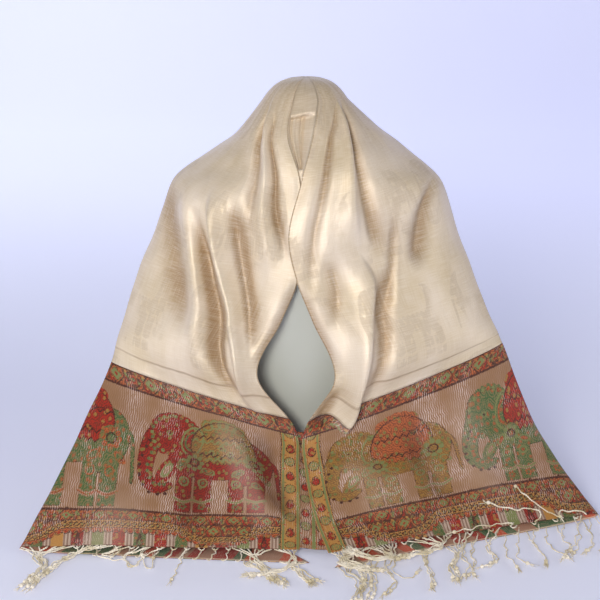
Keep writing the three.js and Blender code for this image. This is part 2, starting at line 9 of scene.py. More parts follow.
import bpy
import numpy as np
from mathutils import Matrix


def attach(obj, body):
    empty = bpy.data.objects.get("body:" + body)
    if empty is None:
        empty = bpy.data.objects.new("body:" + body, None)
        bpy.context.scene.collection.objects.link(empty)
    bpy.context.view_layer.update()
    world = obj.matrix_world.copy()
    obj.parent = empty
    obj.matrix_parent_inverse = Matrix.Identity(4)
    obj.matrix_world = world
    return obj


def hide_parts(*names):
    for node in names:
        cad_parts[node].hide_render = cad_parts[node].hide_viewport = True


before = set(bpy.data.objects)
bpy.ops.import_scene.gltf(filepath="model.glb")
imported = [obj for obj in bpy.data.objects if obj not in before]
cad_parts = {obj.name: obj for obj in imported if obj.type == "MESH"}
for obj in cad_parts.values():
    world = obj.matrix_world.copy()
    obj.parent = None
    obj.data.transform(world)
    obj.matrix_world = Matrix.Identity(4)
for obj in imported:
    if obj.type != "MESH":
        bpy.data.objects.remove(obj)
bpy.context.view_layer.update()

MM = 0.001

# Driving sizes of the cloth, in millimetres
CLOTH = 0.9  # its thickness
CLOTH_GAP = CLOTH / 2 + 0.1  # least height of its middle over the table
WIDTH = 370  # width of one layer: the shawl is 740 wide and lies folded in two
CROWN_TOP = 573.4
CROWN_RISE = 60  # length of cloth from the first section to the top of the crown
CROWN_POWER = 3.2  # how flat the crown is before it falls away
TOP_V = 900  # distance of the crown's top from the hem, along the cloth
LOOP = 9  # least depth of the loop at the outer fold
ARC_STEPS = 160  # steps in which each quarter of a section is measured

# The meshes: columns across one front and one half of the back, rows down the field, rings of the crown,
# columns between the front edges, and how many columns even out the seam down the middle of the back
FRONT_COLUMNS, BACK_COLUMNS, FIELD_ROWS, CROWN_RINGS = 124, 48, 118, 12
FOREHEAD_COLUMNS, SEAM_COLUMNS = 18, 5
END_ROWS, END_COLUMNS, UNDER_COLUMNS = 150, 196, 60

# The strip between the front edges: a forehead that bows out, a crease below it, and the throat behind
FOREHEAD_BOW, FOREHEAD_WIDTH = 4, 60
FOREHEAD_CREASE, CREASE_LENGTH = 0.42, 0.22  # as places among the sections
FOREHEAD_END = 1.95  # the place where the fronts have closed before the throat
THROAT_DEPTH = 11

BAND = 6.8  # the place among the sections where the plain field meets the woven end
HEM = 10  # the section at the hem
END_LENGTH = 220  # length of the woven end
BACK_JOIN = (7.6, 1.8)  # above this place, and from this share across, the ends meet without crossing
HANGING = 300  # below this height over the hem the field's back hangs straight on

# Sections across the cloth, from the crown to the hem. v is the distance from the hem along the cloth.
# inner is the front edge, outer the fold at the side, back the line that the back stretch runs to.
# lean turns the loop at the fold from facing forward (0) to facing up (90). crisp above 1 sharpens it.
Section = namedtuple("Section", "v inner outer back lean crisp")
LEFT = [
    Section(800, (-19, -46, 545), (-60, 0, 543), (0, 48, 543), 0, 1.0),
    Section(745, (-25, -66, 507), (-95, 0, 500), (0, 62, 500), 0, 1.1),
    Section(685, (-8, -92, 451), (-140, 0, 466), (0, 80, 450), 0, 1.2),
    Section(620, (-8, -110, 390), (-186, 0, 431), (0, 108, 395), 0, 1.15),
    Section(540, (-11, -122, 325), (-212, -9, 362), (0, 122, 320), 0, 1.3),
    Section(465, (-34, -134, 269), (-236, -26, 300), (0, 130, 230), 0, 1.45),
    Section(380, (-66, -146, 197), (-260, -55, 230), (0, 136, 125), 0, 1.5),
    Section(300, (-15, -144, 119), (-275, -85, 181), (0, 140, 20), 0, 1.5),
    Section(185, (-10, -188, 77), (-305, -140, 122), (-150, 62, 3), 8, 1.5),
    Section(75, (-9, -232, 42), (-341, -220, 57), (-152, -112, 2), 55, 1.2),
    Section(0, (-9, -276, 7), (-374, -272, 6), (3, -300, 1), 90, 0.4),
]
RIGHT = [
    Section(800, (16, -42, 549), (56, 0, 545), (0, 48, 543), 0, 1.0),
    Section(745, (10, -67, 513), (97, 0, 507), (0, 62, 500), 0, 1.1),
    Section(685, (-7, -99, 453), (145, 0, 470), (0, 80, 450), 0, 1.2),
    Section(620, (-24, -118, 385), (186, 0, 434), (0, 108, 395), 0, 1.15),
    Section(540, (-13, -129, 325), (209, -9, 365), (0, 122, 320), 0, 1.3),
    Section(465, (8, -139, 272), (236, -28, 299), (0, 130, 230), 0, 1.45),
    Section(380, (38, -150, 195), (262, -50, 238), (0, 136, 125), 0, 1.5),
    Section(300, (-3, -148, 117), (277, -70, 205), (0, 140, 20), 0, 1.5),
    Section(185, (-1, -192, 72), (312, -92, 119), (150, 62, 3), 8, 1.5),
    Section(75, (10, -238, 36), (354, -128, 55), (156, -90, 2), 60, 1.2),
    Section(0, (28, -285, 6), (399, -178, 6), (36, -312, 1), 90, 0.4),
]
BACK_FOOT = (0, 143, -80)  # where the back would go on to below the field


# Folds that lie on the cloth: crests, or troughs where the rise is below zero. path holds places that a
# fold runs through, each as sections down the cloth and a share across it (0 front edge, 1 outer fold,
# 2 back line). near and far are its half widths as shares, towards the front edge and away from it;
# near_end is what near has become at the foot of the path. start and stop are the shares of the path
# over which it grows and fades. sag is how far its foot droops.
def fold(rise, near, far, path, near_end=None, start=0.3, stop=0.3, sag=0):
    return dict(rise=rise, near=near, far=far, path=np.array(path, float), start=start, stop=stop,
                sag=sag, near_end=near if near_end is None else near_end)


LEFT_FOLDS = [
    # from the shoulder to the front edge: a sharp crest, the deep trough outside it, a soft ridge beyond
    fold(19, 0.055, 0.018,
         [(2.6, 0.6), (4.05, 0.455), (5.3, 0.25), (5.95, 0.12), (6.7, 0.18), (7.1, 0.12)]),
    fold(-17, 0.04, 0.06, [(3, 0.68), (4.3, 0.52), (5.6, 0.3), (6.25, 0.23), (6.9, 0.26)]),
    fold(8, 0.05, 0.06, [(2.6, 0.8), (3.8, 0.66), (4.8, 0.54), (6.4, 0.36)]),
    # a wide hollow under the shoulder, and one between the crest and the front edge
    fold(-7, 0.1, 0.1, [(2.8, 0.95), (4.3, 0.76), (5.9, 0.5)]),
    fold(-11, 0.07, 0.05, [(2.5, 0.44), (3.9, 0.34), (5.1, 0.19), (5.9, 0.06)]),
    # pleats that come down from the crown beside the front edge
    fold(8, 0.05, 0.05, [(-0.5, 0.5), (0.3, 0.38), (1, 0.28), (2.3, 0.27), (4.4, 0.15)]),
    fold(-6, 0.05, 0.05, [(-0.2, 0.5), (0.5, 0.42), (2.15, 0.345), (3.8, 0.26)]),
    fold(-9, 0.035, 0.04, [(0.2, 0.27), (0.6, 0.24), (2.4, 0.19), (3.9, 0.06)]),
    # the front edge rolls in beside the opening, and shows as a line on the crown
    fold(-7, 0.035, 0.035, [(3.9, 0), (6.2, 0)]),
    fold(-2.5, 0.03, 0.03, [(-0.9, 0), (-0.3, 0), (0.8, 0)]),
    # where the fronts cross, the left edge lies close to the right one
    fold(3.5, 0.04, 0.05, [(1.3, 0), (2, 0), (3.4, 0), (4.3, 0)]),
    # slack in the woven end: a ridge down from the crest, a trough beside it, and where the hem lifts
    fold(11, 0.045, 0.09, [(6.9, 0.36), (8.2, 0.24), (9.6, 0.1)]),
    fold(-9, 0.05, 0.05, [(7.1, 0.2), (8.4, 0.12), (9.4, 0.03)]),
    fold(-5, 0.06, 0.06, [(7.4, 0.5), (8.8, 0.44), (9.9, 0.42)]),
    fold(8, 0.11, 0.11, [(8.5, 0.7), (11.8, 0.7)]),
    fold(3.5, 0.05, 0.05, [(9, 0.27), (11.8, 0.26)]),
]
RIGHT_FOLDS = [
    # the big pleat that leaves the front edge and hangs over the woven end as a pointed tip
    fold(21, 0.17, 0.022, [(3.4, 0.3), (4.3, 0.36), (5.1, 0.285), (6.1, 0.15), (6.7, 0.185), (7.2, 0.19)],
         near_end=0.04, start=0.45, stop=0.07, sag=25),
    fold(-9, 0.04, 0.05, [(4, 0.46), (5.4, 0.34), (6.1, 0.26), (6.9, 0.29)]),
    fold(-7, 0.05, 0.05, [(3.5, 0.19), (4.4, 0.18), (5.3, 0.12)]),
    fold(-8, 0.05, 0.06, [(6.1, 0.05), (6.6, 0.06), (7.1, 0.06)]),
    # pleats that come down from the crown: one beside the front edge, a crest, a trough outside it
    fold(-6, 0.03, 0.04, [(-0.4, 0.5), (0.3, 0.34), (1.05, 0.2), (2.75, 0.15), (4.7, 0.04)]),
    fold(7, 0.07, 0.03, [(-0.3, 0.45), (0.5, 0.4), (1.9, 0.36), (4, 0.33)]),
    fold(-8, 0.03, 0.06, [(-0.2, 0.54), (1.2, 0.43), (3.05, 0.43), (4.3, 0.45)]),
    # a short crease on the breast, and the dimple under the shoulder
    fold(-5, 0.03, 0.03, [(3, 0.57), (3.8, 0.53), (5.3, 0.4)]),
    fold(-8, 0.05, 0.06, [(2.7, 0.9), (3.4, 0.74), (4.5, 0.64)]),
    # the front edge rolls in beside the opening, and lies over the forehead
    fold(-6, 0.035, 0.035, [(4, 0), (6.2, 0)]),
    fold(2.5, 0.03, 0.05, [(-0.5, 0), (0.2, 0), (1.2, 0)]),
    fold(-2, 0.04, 0.05, [(1.6, 0), (2.3, 0), (3.4, 0), (4.2, 0)]),
    # slack in the woven end
    fold(6, 0.08, 0.1, [(7.6, 0.16), (8.6, 0.24), (9.5, 0.2)]),
    fold(-5, 0.05, 0.05, [(7.2, 0.5), (8.4, 0.46), (9.7, 0.5)]),
    fold(6, 0.07, 0.09, [(7, 0.72), (8.6, 0.66), (9.8, 0.68)]),
    fold(3.5, 0.06, 0.06, [(9, 0.34), (11.8, 0.35)]),
]
BACK_FOLDS = [
    fold(11, 0.07, 0.07, [(1.6, 1.3), (5.2, 1.26), (7, 1.22)]),
    fold(14, 0.06, 0.06, [(1.2, 1.5), (5.1, 1.47), (7, 1.44)]),
    fold(12, 0.06, 0.06, [(0.8, 1.68), (5, 1.65), (7, 1.66)]),
    fold(15, 0.055, 0.055, [(0.5, 1.86), (7, 1.87)]),
    fold(6, 0.1, 0.1, [(7.3, 1.3), (9, 1.35)]),
]
LEAST_FOLD = 0.018  # least half width of a fold

# The display form, from its flat base to the top of its neck: height, half width, half depth
FORM = [(0, 116, 82), (6, 122, 88), (100, 126, 90), (200, 138, 95), (290, 156, 102), (355, 169, 100),
        (400, 177, 90), (426, 177, 77), (440, 166, 69), (451, 142, 62), (461, 108, 56), (473, 78, 51),
        (492, 57, 47), (525, 48, 42), (548, 45, 39), (560, 37, 33), (567.5, 27, 25), (570.6, 16, 15)]
FORM_TOP = 571.2


def through(values, places):
    """Smooth values through the rows of a table, at places given as row numbers."""
    values, places = np.asarray(values, float), np.asarray(places, float)
    i = np.clip(np.floor(places).astype(int), 0, len(values) - 2)
    s = places - i
    if values.ndim > 1:
        s = s[..., None]

    def at(k):
        return values[np.clip(k, 0, len(values) - 1)]

    slope0, slope1 = (at(i + 1) - at(i - 1)) / 2, (at(i + 2) - at(i)) / 2
    s2, s3 = s * s, s * s * s
    ends = (2 * s3 - 3 * s2 + 1) * at(i) + (3 * s2 - 2 * s3) * at(i + 1)
    return ends + (s3 - 2 * s2 + s) * slope0 + (s3 - s2) * slope1


def ease(s):
    """From 0 to 1 with a soft start and a soft stop."""
    s = np.clip(s, 0, 1)
    return s * s * (3 - 2 * s)


def mix(a, b, s):
    """From a to b by a share s."""
    return a + (b - a) * s


def lengths(line):
    """How far along a line each of its points lies."""
    return np.concatenate([[0], np.linalg.norm(np.diff(line, axis=0), axis=1).cumsum()])


def points_at(want, run, line):
    """Points at some places along a line, where run gives the places of the line's own points."""
    return np.stack([np.interp(want, run, line[:, k]) for k in range(3)], axis=-1)


def columns(front, back):
    """Shares across the cloth: 0 to 1 over the front columns, then 1 to 2 over the back ones."""
    return np.concatenate([np.linspace(0, 1, front + 1), np.linspace(1, 2, back + 1)[1:]])


def quarter(start, end, loop, reach, crisp):
    """Quarters of superellipses, one for each row, from start to the fold along the loop's direction."""
    corner = end + loop * reach[:, None]
    centre = start + end - corner
    angle = np.linspace(0, math.pi / 2, ARC_STEPS + 1)
    a = np.cos(angle)[None, :].clip(0) ** crisp[:, None]
    b = np.sin(angle)[None, :].clip(0) ** crisp[:, None]
    arms = (start - centre)[:, None] * a[..., None], (end - centre)[:, None] * b[..., None]
    return centre[:, None] + arms[0] + arms[1]


def plain_grid(table, t, q):
    """Points of the smooth cloth in rows t: q from 0 to 1 on the front arc and from 1 to 2 on the back."""
    inner, outer, back = (through([getattr(row, name) for row in table], t)
                          for name in ("inner", "outer", "back"))
    lean = np.radians(through([row.lean for row in table], t))
    crisp = through([row.crisp for row in table], t)
    loop = np.stack([0 * lean, -np.cos(lean), np.sin(lean)], axis=1)
    ahead = np.maximum(((inner - outer) * loop).sum(axis=1), LOOP / 2)
    behind = np.maximum(((outer - back) * loop).sum(axis=1), LOOP / 2)
    arcs = (quarter(inner, outer, loop, ahead, crisp),
            quarter(back, outer, loop, -behind, crisp)[:, ::-1])
    points = np.zeros((len(t), len(q), 3))
    for part, arc in enumerate(arcs):
        chosen = q <= 1 if part == 0 else q > 1
        for i, line in enumerate(arc):
            run = lengths(line)
            points[i, chosen] = points_at((q[chosen] - part) * run[-1], run, line)
    return points


def folds_at(folds, t, q):
    """How high the folds stand and how far they sag, over a grid of rows t and columns q."""
    rise, sag = np.zeros((len(t), len(q))), np.zeros((len(t), len(q)))
    t, q = t[:, None], q[None, :]
    for f in folds:
        first, last = f["path"][0, 0], f["path"][-1, 0]
        place = np.interp(t, f["path"][:, 0], np.arange(len(f["path"])))
        offset = q - through(f["path"][:, 1], place)
        along = ((t - first) / (last - first)).clip(0, 1)
        near = mix(f["near"], f["near_end"], along)
        width = np.maximum(np.where(offset < 0, near, f["far"]), LEAST_FOLD)
        share = ease(along / f["start"]) * ease((1 - along) / f["stop"]) * np.exp(-(offset / width) ** 2)
        rise += f["rise"] * share
        sag += f["sag"] * share * ease((along - 0.6) / 0.4)
    return rise, sag


def facing(points):
    """Unit normals of a grid of points, rows down and columns across."""
    across, down = np.gradient(points, axis=1), np.gradient(points, axis=0)
    normal = np.cross(across, down)
    return normal / np.linalg.norm(normal, axis=2, keepdims=True).clip(1e-9)


def uneven(t, q, side):
    """The slight unevenness of cloth that hangs free, in waves that follow no fold."""
    t, q = t[:, None], q[None, :]
    waves = 0.7 * np.sin(5.1 * q + 1.9 * t + side) + 0.5 * np.sin(9.7 * q - 2.6 * t + 2.1 * side)
    waves += 0.35 * np.sin(17.3 * q + 4.4 * t + 0.7) + 0.25 * np.sin(7.9 * t - 11.1 * q + 1.3)
    return waves * ease(t / 1.5)


def draped(table, folds, side, t, q):
    """The draped cloth, its plain points moved out along the normal by the folds, and how far they moved.

    t counts the sections down from the crown's rim, and is below zero on the crown itself.
    """
    points = plain_grid(table, t.clip(0), q)
    top_row = points[np.argmin(np.abs(t))]
    for i in np.flatnonzero(t < 0):
        share = 1 + t[i]
        points[i] = top_row * share
        points[i, :, 2] = CROWN_TOP - (CROWN_TOP - top_row[:, 2]) * share ** CROWN_POWER
    normal = facing(points) * (1 if side < 0 else -1)
    rise, sag = folds_at(folds + BACK_FOLDS, t, q)
    rise += uneven(t, q, side)
    rise *= np.where(t < 0, (1 + t) ** 0.5, 1)[:, None]
    points += normal * rise[..., None]
    points[..., 2] = np.maximum(points[..., 2] - sag, CLOTH_GAP)
    return points, rise


def new_object(name, points, faces, materials):
    """A smooth mesh object from points in millimetres."""
    mesh = bpy.data.meshes.new(name)
    mesh.from_pydata((np.asarray(points) * MM).tolist(), [], faces)
    mesh.shade_smooth()
    for material in materials:
        mesh.materials.append(material)
    obj = bpy.data.objects.new(name, mesh)
    bpy.context.scene.collection.objects.link(obj)
    return obj


def quads(number):
    """Faces between the points of a grid of point numbers."""
    a, b, c, d = number[:-1, :-1], number[:-1, 1:], number[1:, 1:], number[1:, :-1]
    return np.stack([a, b, c, d], axis=-1).reshape(-1, 4).tolist()


def grid_faces(rows, count, first=0, closed=False):
    """Faces of a grid whose points run row by row. A closed one joins its last column to its first."""
    number = first + np.arange(rows * count).reshape(rows, count)
    return quads(np.concatenate([number, number[:, :1]], axis=1) if closed else number)


def set_uv(obj, u, v):
    """The place of each point on the flat cloth, in metres, as the mesh's UV map."""
    layer = obj.data.uv_layers.new(name="cloth")
    corners = np.empty(len(obj.data.loops), np.int32)
    obj.data.loops.foreach_get("vertex_index", corners)
    flat = np.stack([np.ravel(u), np.ravel(v)], axis=1)[corners] * MM
    layer.data.foreach_set("uv", flat.ravel().astype(np.float32))


def set_values(obj, name, values):
    """A number at each point, which a material reads by its name."""
    attribute = obj.data.attributes.new(name, "FLOAT", "POINT")
    attribute.data.foreach_set("value", np.ravel(values).astype(np.float32))


def thicken(obj):
    """A sheet becomes a thin shell; its wrong side takes the last of its materials."""
    shell = obj.modifiers.new("cloth", "SOLIDIFY")
    shell.thickness = CLOTH * MM
    shell.offset = 0
    shell.use_quality_normals = True
    shell.material_offset = len(obj.data.materials) - 1


def woven(name, points, faces, materials, u, v, values):
    """A piece of the shawl, with its place on the flat cloth and the numbers that its materials read."""
    obj = new_object(name, points, faces, materials)
    set_uv(obj, u, v)
    for value, at_points in values.items():
        set_values(obj, value, at_points)
    thicken(obj)
    return obj


# Shapes of the woven figures. Each gives how far a place lies inside the shape, in millimetres, so that
# the larger of two is their union.
OUTSIDE = -9.0  # well outside every shape


def disc(x, y, radius):
    return radius - np.hypot(x, y)


def ring(x, y, radius, line):
    return line - np.abs(np.hypot(x, y) - radius)


def oval(x, y, wide, high, turn=0):
    c, s = math.cos(math.radians(turn)), math.sin(math.radians(turn))
    return (1 - np.hypot((x * c + y * s) / wide, (y * c - x * s) / high)) * min(wide, high)


def block(x, y, wide, high):
    return np.minimum(wide - np.abs(x), high - np.abs(y))


def lozenge(x, y, wide, high):
    return (1 - np.abs(x) / wide - np.abs(y) / high) * min(wide, high) * 0.8


def rosette(x, y, radius, petals):
    """A round of petals."""
    angle, away = np.arctan2(y, x), np.hypot(x, y)
    slice_angle = 2 * math.pi / petals
    off = np.mod(angle + slice_angle / 2, slice_angle) - slice_angle / 2
    petal = radius * math.sin(slice_angle / 2) * 0.85
    return disc(away * np.cos(off) - radius, away * np.sin(off), petal)


def stroke(x, y, points, thick, thin=None):
    """A line through points, whose half width goes from thick to thin."""
    points = through(points, np.linspace(0, len(points) - 1, 6 * (len(points) - 1) + 1))
    best = np.full(np.shape(x), -99.0)
    for k in range(len(points) - 1):
        (ax, ay), (bx, by) = points[k], points[k + 1]
        length = (bx - ax) ** 2 + (by - ay) ** 2
        share = (((x - ax) * (bx - ax) + (y - ay) * (by - ay)) / max(length, 1e-6)).clip(0, 1)
        half = mix(thick, thick if thin is None else thin, (k + share) / (len(points) - 1))
        best = np.maximum(best, half - np.hypot(x - ax - share * (bx - ax), y - ay - share * (by - ay)))
    return best


def paisley(x, y, size):
    """A drop with a curled tip: a round body and a tail that bends over."""
    tail = stroke(x, y, [(0, 0), (0.25 * size, 0.75 * size), (-0.1 * size, 1.3 * size),
                         (-0.55 * size, 1.2 * size)], 0.72 * size, 0.1 * size)
    return np.maximum(disc(x, y, size), tail)


def edge(shape, line, inset=0.0):
    """A line along a shape's edge, or along a line that lies inside it."""
    return line - np.abs(shape - inset)


def repeat(x, pitch, shift=0.0):
    """The place within a repeat, from its middle, and the number of the repeat."""
    number = np.floor((x - shift) / pitch)
    return x - shift - (number + 0.5) * pitch, number


class Pattern:
    """What is woven at each point: for each yarn, how far the point lies inside that yarn's shapes."""
    YARNS = ("ribs", "earth", "ochre", "red", "green", "gold", "leaf", "orange", "scarlet", "dark")

    def __init__(self, shape):
        self.inside = {yarn: np.full(shape, OUTSIDE) for yarn in self.YARNS}

    def add(self, yarn, shape, within=None):
        """Weaves a shape in a yarn, or only what lies within another shape."""
        if within is not None:
            shape = np.minimum(shape, within)
        self.inside[yarn] = np.maximum(self.inside[yarn], shape)

    def clear(self, shape, yarns=None):
        """Takes a shape out of some yarns, or out of all."""
        for yarn in yarns or self.YARNS:
            self.inside[yarn] = np.minimum(self.inside[yarn], -shape)


ELEPHANT, ELEPHANT_TALL = 182, 150  # length of an elephant as drawn, trunk to tail, and its height
ELEPHANT_SCALE = (195 / ELEPHANT, 134 / ELEPHANT_TALL)  # how much it is drawn out along weft and warp
ELEPHANT_PITCH = 198
FEET = 57  # height of the feet over the hem


def elephant(pattern, x, y, body, saddle, trim, spots):
    """A caparisoned elephant in profile, trunk at x = 0 and tail at x = 180, its feet at y = 0."""
    add, clear = pattern.add, pattern.clear
    near = block(x - ELEPHANT / 2, y - ELEPHANT_TALL / 2, ELEPHANT / 2 + 4, 80)
    trunk = stroke(x, y, [(34, 118), (17, 98), (9, 70), (10, 44), (24, 30), (40, 36)], 15, 5)
    head = np.maximum(oval(x - 44, y - 106, 30, 27, 20), disc(x - 30, y - 118, 17))
    torso = np.maximum(oval(x - 96, y - 86, 56, 36), oval(x - 138, y - 82, 32, 40, -12))
    torso = np.maximum(torso, oval(x - 66, y - 88, 32, 36))
    legs = [block(x - at, y - 34, half, 34) for at, half in ((58, 10), (82, 11), (124, 10), (149, 11))]
    tail = stroke(x, y, [(162, 102), (173, 88), (176, 62), (178, 34)], 3.4, 2.2)
    whole = np.maximum.reduce([trunk, head, torso, tail, *legs])
    add(body, whole)
    add("dark", edge(whole, 0.45, 0.6))
    # anklets part the feet from the legs, and a pointed curl fills the hook of the trunk
    for at, half in ((58, 12), (82, 13), (124, 12), (149, 13)):
        anklet = [(at - half, 21), (at, 16), (at + half, 21)]
        clear(stroke(x, y, anklet, 2.6))
        add(trim, stroke(x, y, anklet, 1.2))
        add(spots, rosette(x - at, y - 9, 3.6, 5))
        add(trim, ring(x - at, y - 45, 5.4, 1.1))
        add(spots, disc(x - at, y - 45, 2.6))
    curl = oval(x - 36, y - 56, 17, 7.5, 58)
    add(body, edge(curl, 2.2))
    add(trim, edge(curl, 1.0, 3.4))
    # the ear, the eye and the ruffle round the head
    ear = oval(x - 66, y - 104, 13, 21, -14)
    add(trim, edge(ear, 1.1))
    add(spots, edge(ear, 1.2, 4.6))
    add(trim, ring(x - 36, y - 108, 3.4, 0.8))
    add("dark", disc(x - 36, y - 108, 1.5))
    for k in range(15):
        angle = math.radians(38 + 14.5 * k)
        cx, cy = 44 + 31 * math.cos(angle), 106 + 28 * math.sin(angle)
        add(body, disc(x - cx, y - cy, 5.4))
        add((trim, spots)[k % 2], disc(x - cx, y - cy, 2.5))
    for k in range(9):
        cx, cy = through([(12, 92), (3, 70), (2, 46), (16, 24), (36, 24)], k / 2)
        add("dark", disc(x - cx, y - cy, 2.3))
        add(spots, disc(x - mix(cx, 30, 0.34), y - mix(cy, 62, 0.34), 2.4))
    # the saddle cloth with its zigzag border, and the scalloped howdah on top
    teeth = 5 * np.abs(np.mod(x / 10.0, 1) * 2 - 1)
    cloth = np.minimum(oval(x - 106, y - 100, 42, 40), y - 74 - teeth)
    add(saddle, cloth)
    add("dark", edge(cloth, 0.8, 0.6))
    for k in range(8):
        line = 1.2 - np.abs(y - teeth - 79 - 6.5 * k)
        add((trim, "dark", spots, body)[k % 4], line, cloth - 1.5)
    for cx, cy in ((92, 92), (104, 84), (116, 92), (104, 100)):
        add(trim, rosette(x - cx, y - cy, 3.4, 6))
        add("dark", disc(x - cx, y - cy, 1.6))
    for k in range(5):
        cx, cy = 84 + 10 * k, 129 + 8 * math.sin(math.pi * (k + 0.5) / 5)
        add(saddle, disc(x - cx, y - cy, 9.5))
        add(trim, ring(x - cx, y - cy, 6.6, 1.1))
        add(spots, disc(x - cx, y - cy, 3.6))
    # medallions on the shoulder and the rump, and sprigs about them
    for cx, cy, size in ((70, 74, 9.5), (146, 84, 11)):
        clear(disc(x - cx, y - cy, size + 5), ("leaf", "orange", "scarlet", "dark"))
        add(trim, rosette(x - cx, y - cy, size, 8))
        add("dark", ring(x - cx, y - cy, size * 0.55, 1.0))
        add(spots, disc(x - cx, y - cy, size * 0.36))
    for cx, cy, turn in ((126, 62, 30), (160, 62, -40), (132, 108, 70), (88, 62, -20), (54, 68, 60)):
        add(spots, oval(x - cx, y - cy, 6, 2.6, turn), near)
        add(trim, edge(oval(x - cx, y - cy, 8, 4.4, turn), 0.8))


def floral_row(pattern, u, v, half, pitch, shift):
    """Rosettes and lozenges in turn, with scrolls between, about v = 0."""
    add = pattern.add
    x, number = repeat(u, pitch, shift)
    odd = np.mod(number, 2) == 1
    size = half * 0.62
    star = np.where(odd, lozenge(x, v, size * 1.25, size * 1.1), rosette(x, v, size * 0.66, 7))
    add("leaf", np.where(odd, star, OUTSIDE))
    add("orange", np.where(odd, edge(star, 1.0, -1.6), star))
    add("green", np.where(odd, OUTSIDE, disc(x, v, size * 0.36)))
    add("scarlet", np.where(odd, lozenge(x, v, size * 0.5, size * 0.42), ring(x, v, size * 0.5, 0.8)))
    add("dark", edge(star, 0.7, -3.0))
    across = pitch / 2
    for side in (-1, 1):
        scroll = stroke(x, v * side, [(-across, 0.1 * half), (-0.6 * across, 0.75 * half),
                                      (-0.3 * across, 0.35 * half)], 1.7, 1.0)
        add("orange", scroll)
        scroll = stroke(x, v * side, [(across, -0.2 * half), (0.62 * across, 0.8 * half),
                                      (0.36 * across, 0.5 * half)], 1.6, 0.9)
        add("scarlet" if side < 0 else "ochre", scroll)
        add("leaf", oval(x - side * 0.72 * across, v * side - 0.3 * half, 4.2, 2.4, 40 * side))
        add("ochre", disc(x - side * 0.5 * across, v * side + 0.55 * half, 2.6))


# Heights over the hem: the band at the top, the chain of rings, how far it dips and how often, and the top
# of the floral band. BORDER is the width of the border along the selvedge, and BORDER_PITCH its repeat.
TOP_BAND = (194, 221)
CHAIN, CHAIN_DIP, CHAIN_PITCH = 36, 19, 262
FLORAL_TOP = 55
FLORAL_ROWS = ((47, 7.5, 22, 10), (31, 8.5, 20, 3))  # height over the hem, half height, pitch and shift
BORDER, BORDER_PITCH = 25, 23
BLOCK_PITCH = 27  # from one block of colour along the hem to the next
BLOCKS = ("green", "scarlet", "leaf", "red", "ochre", "green", "scarlet")


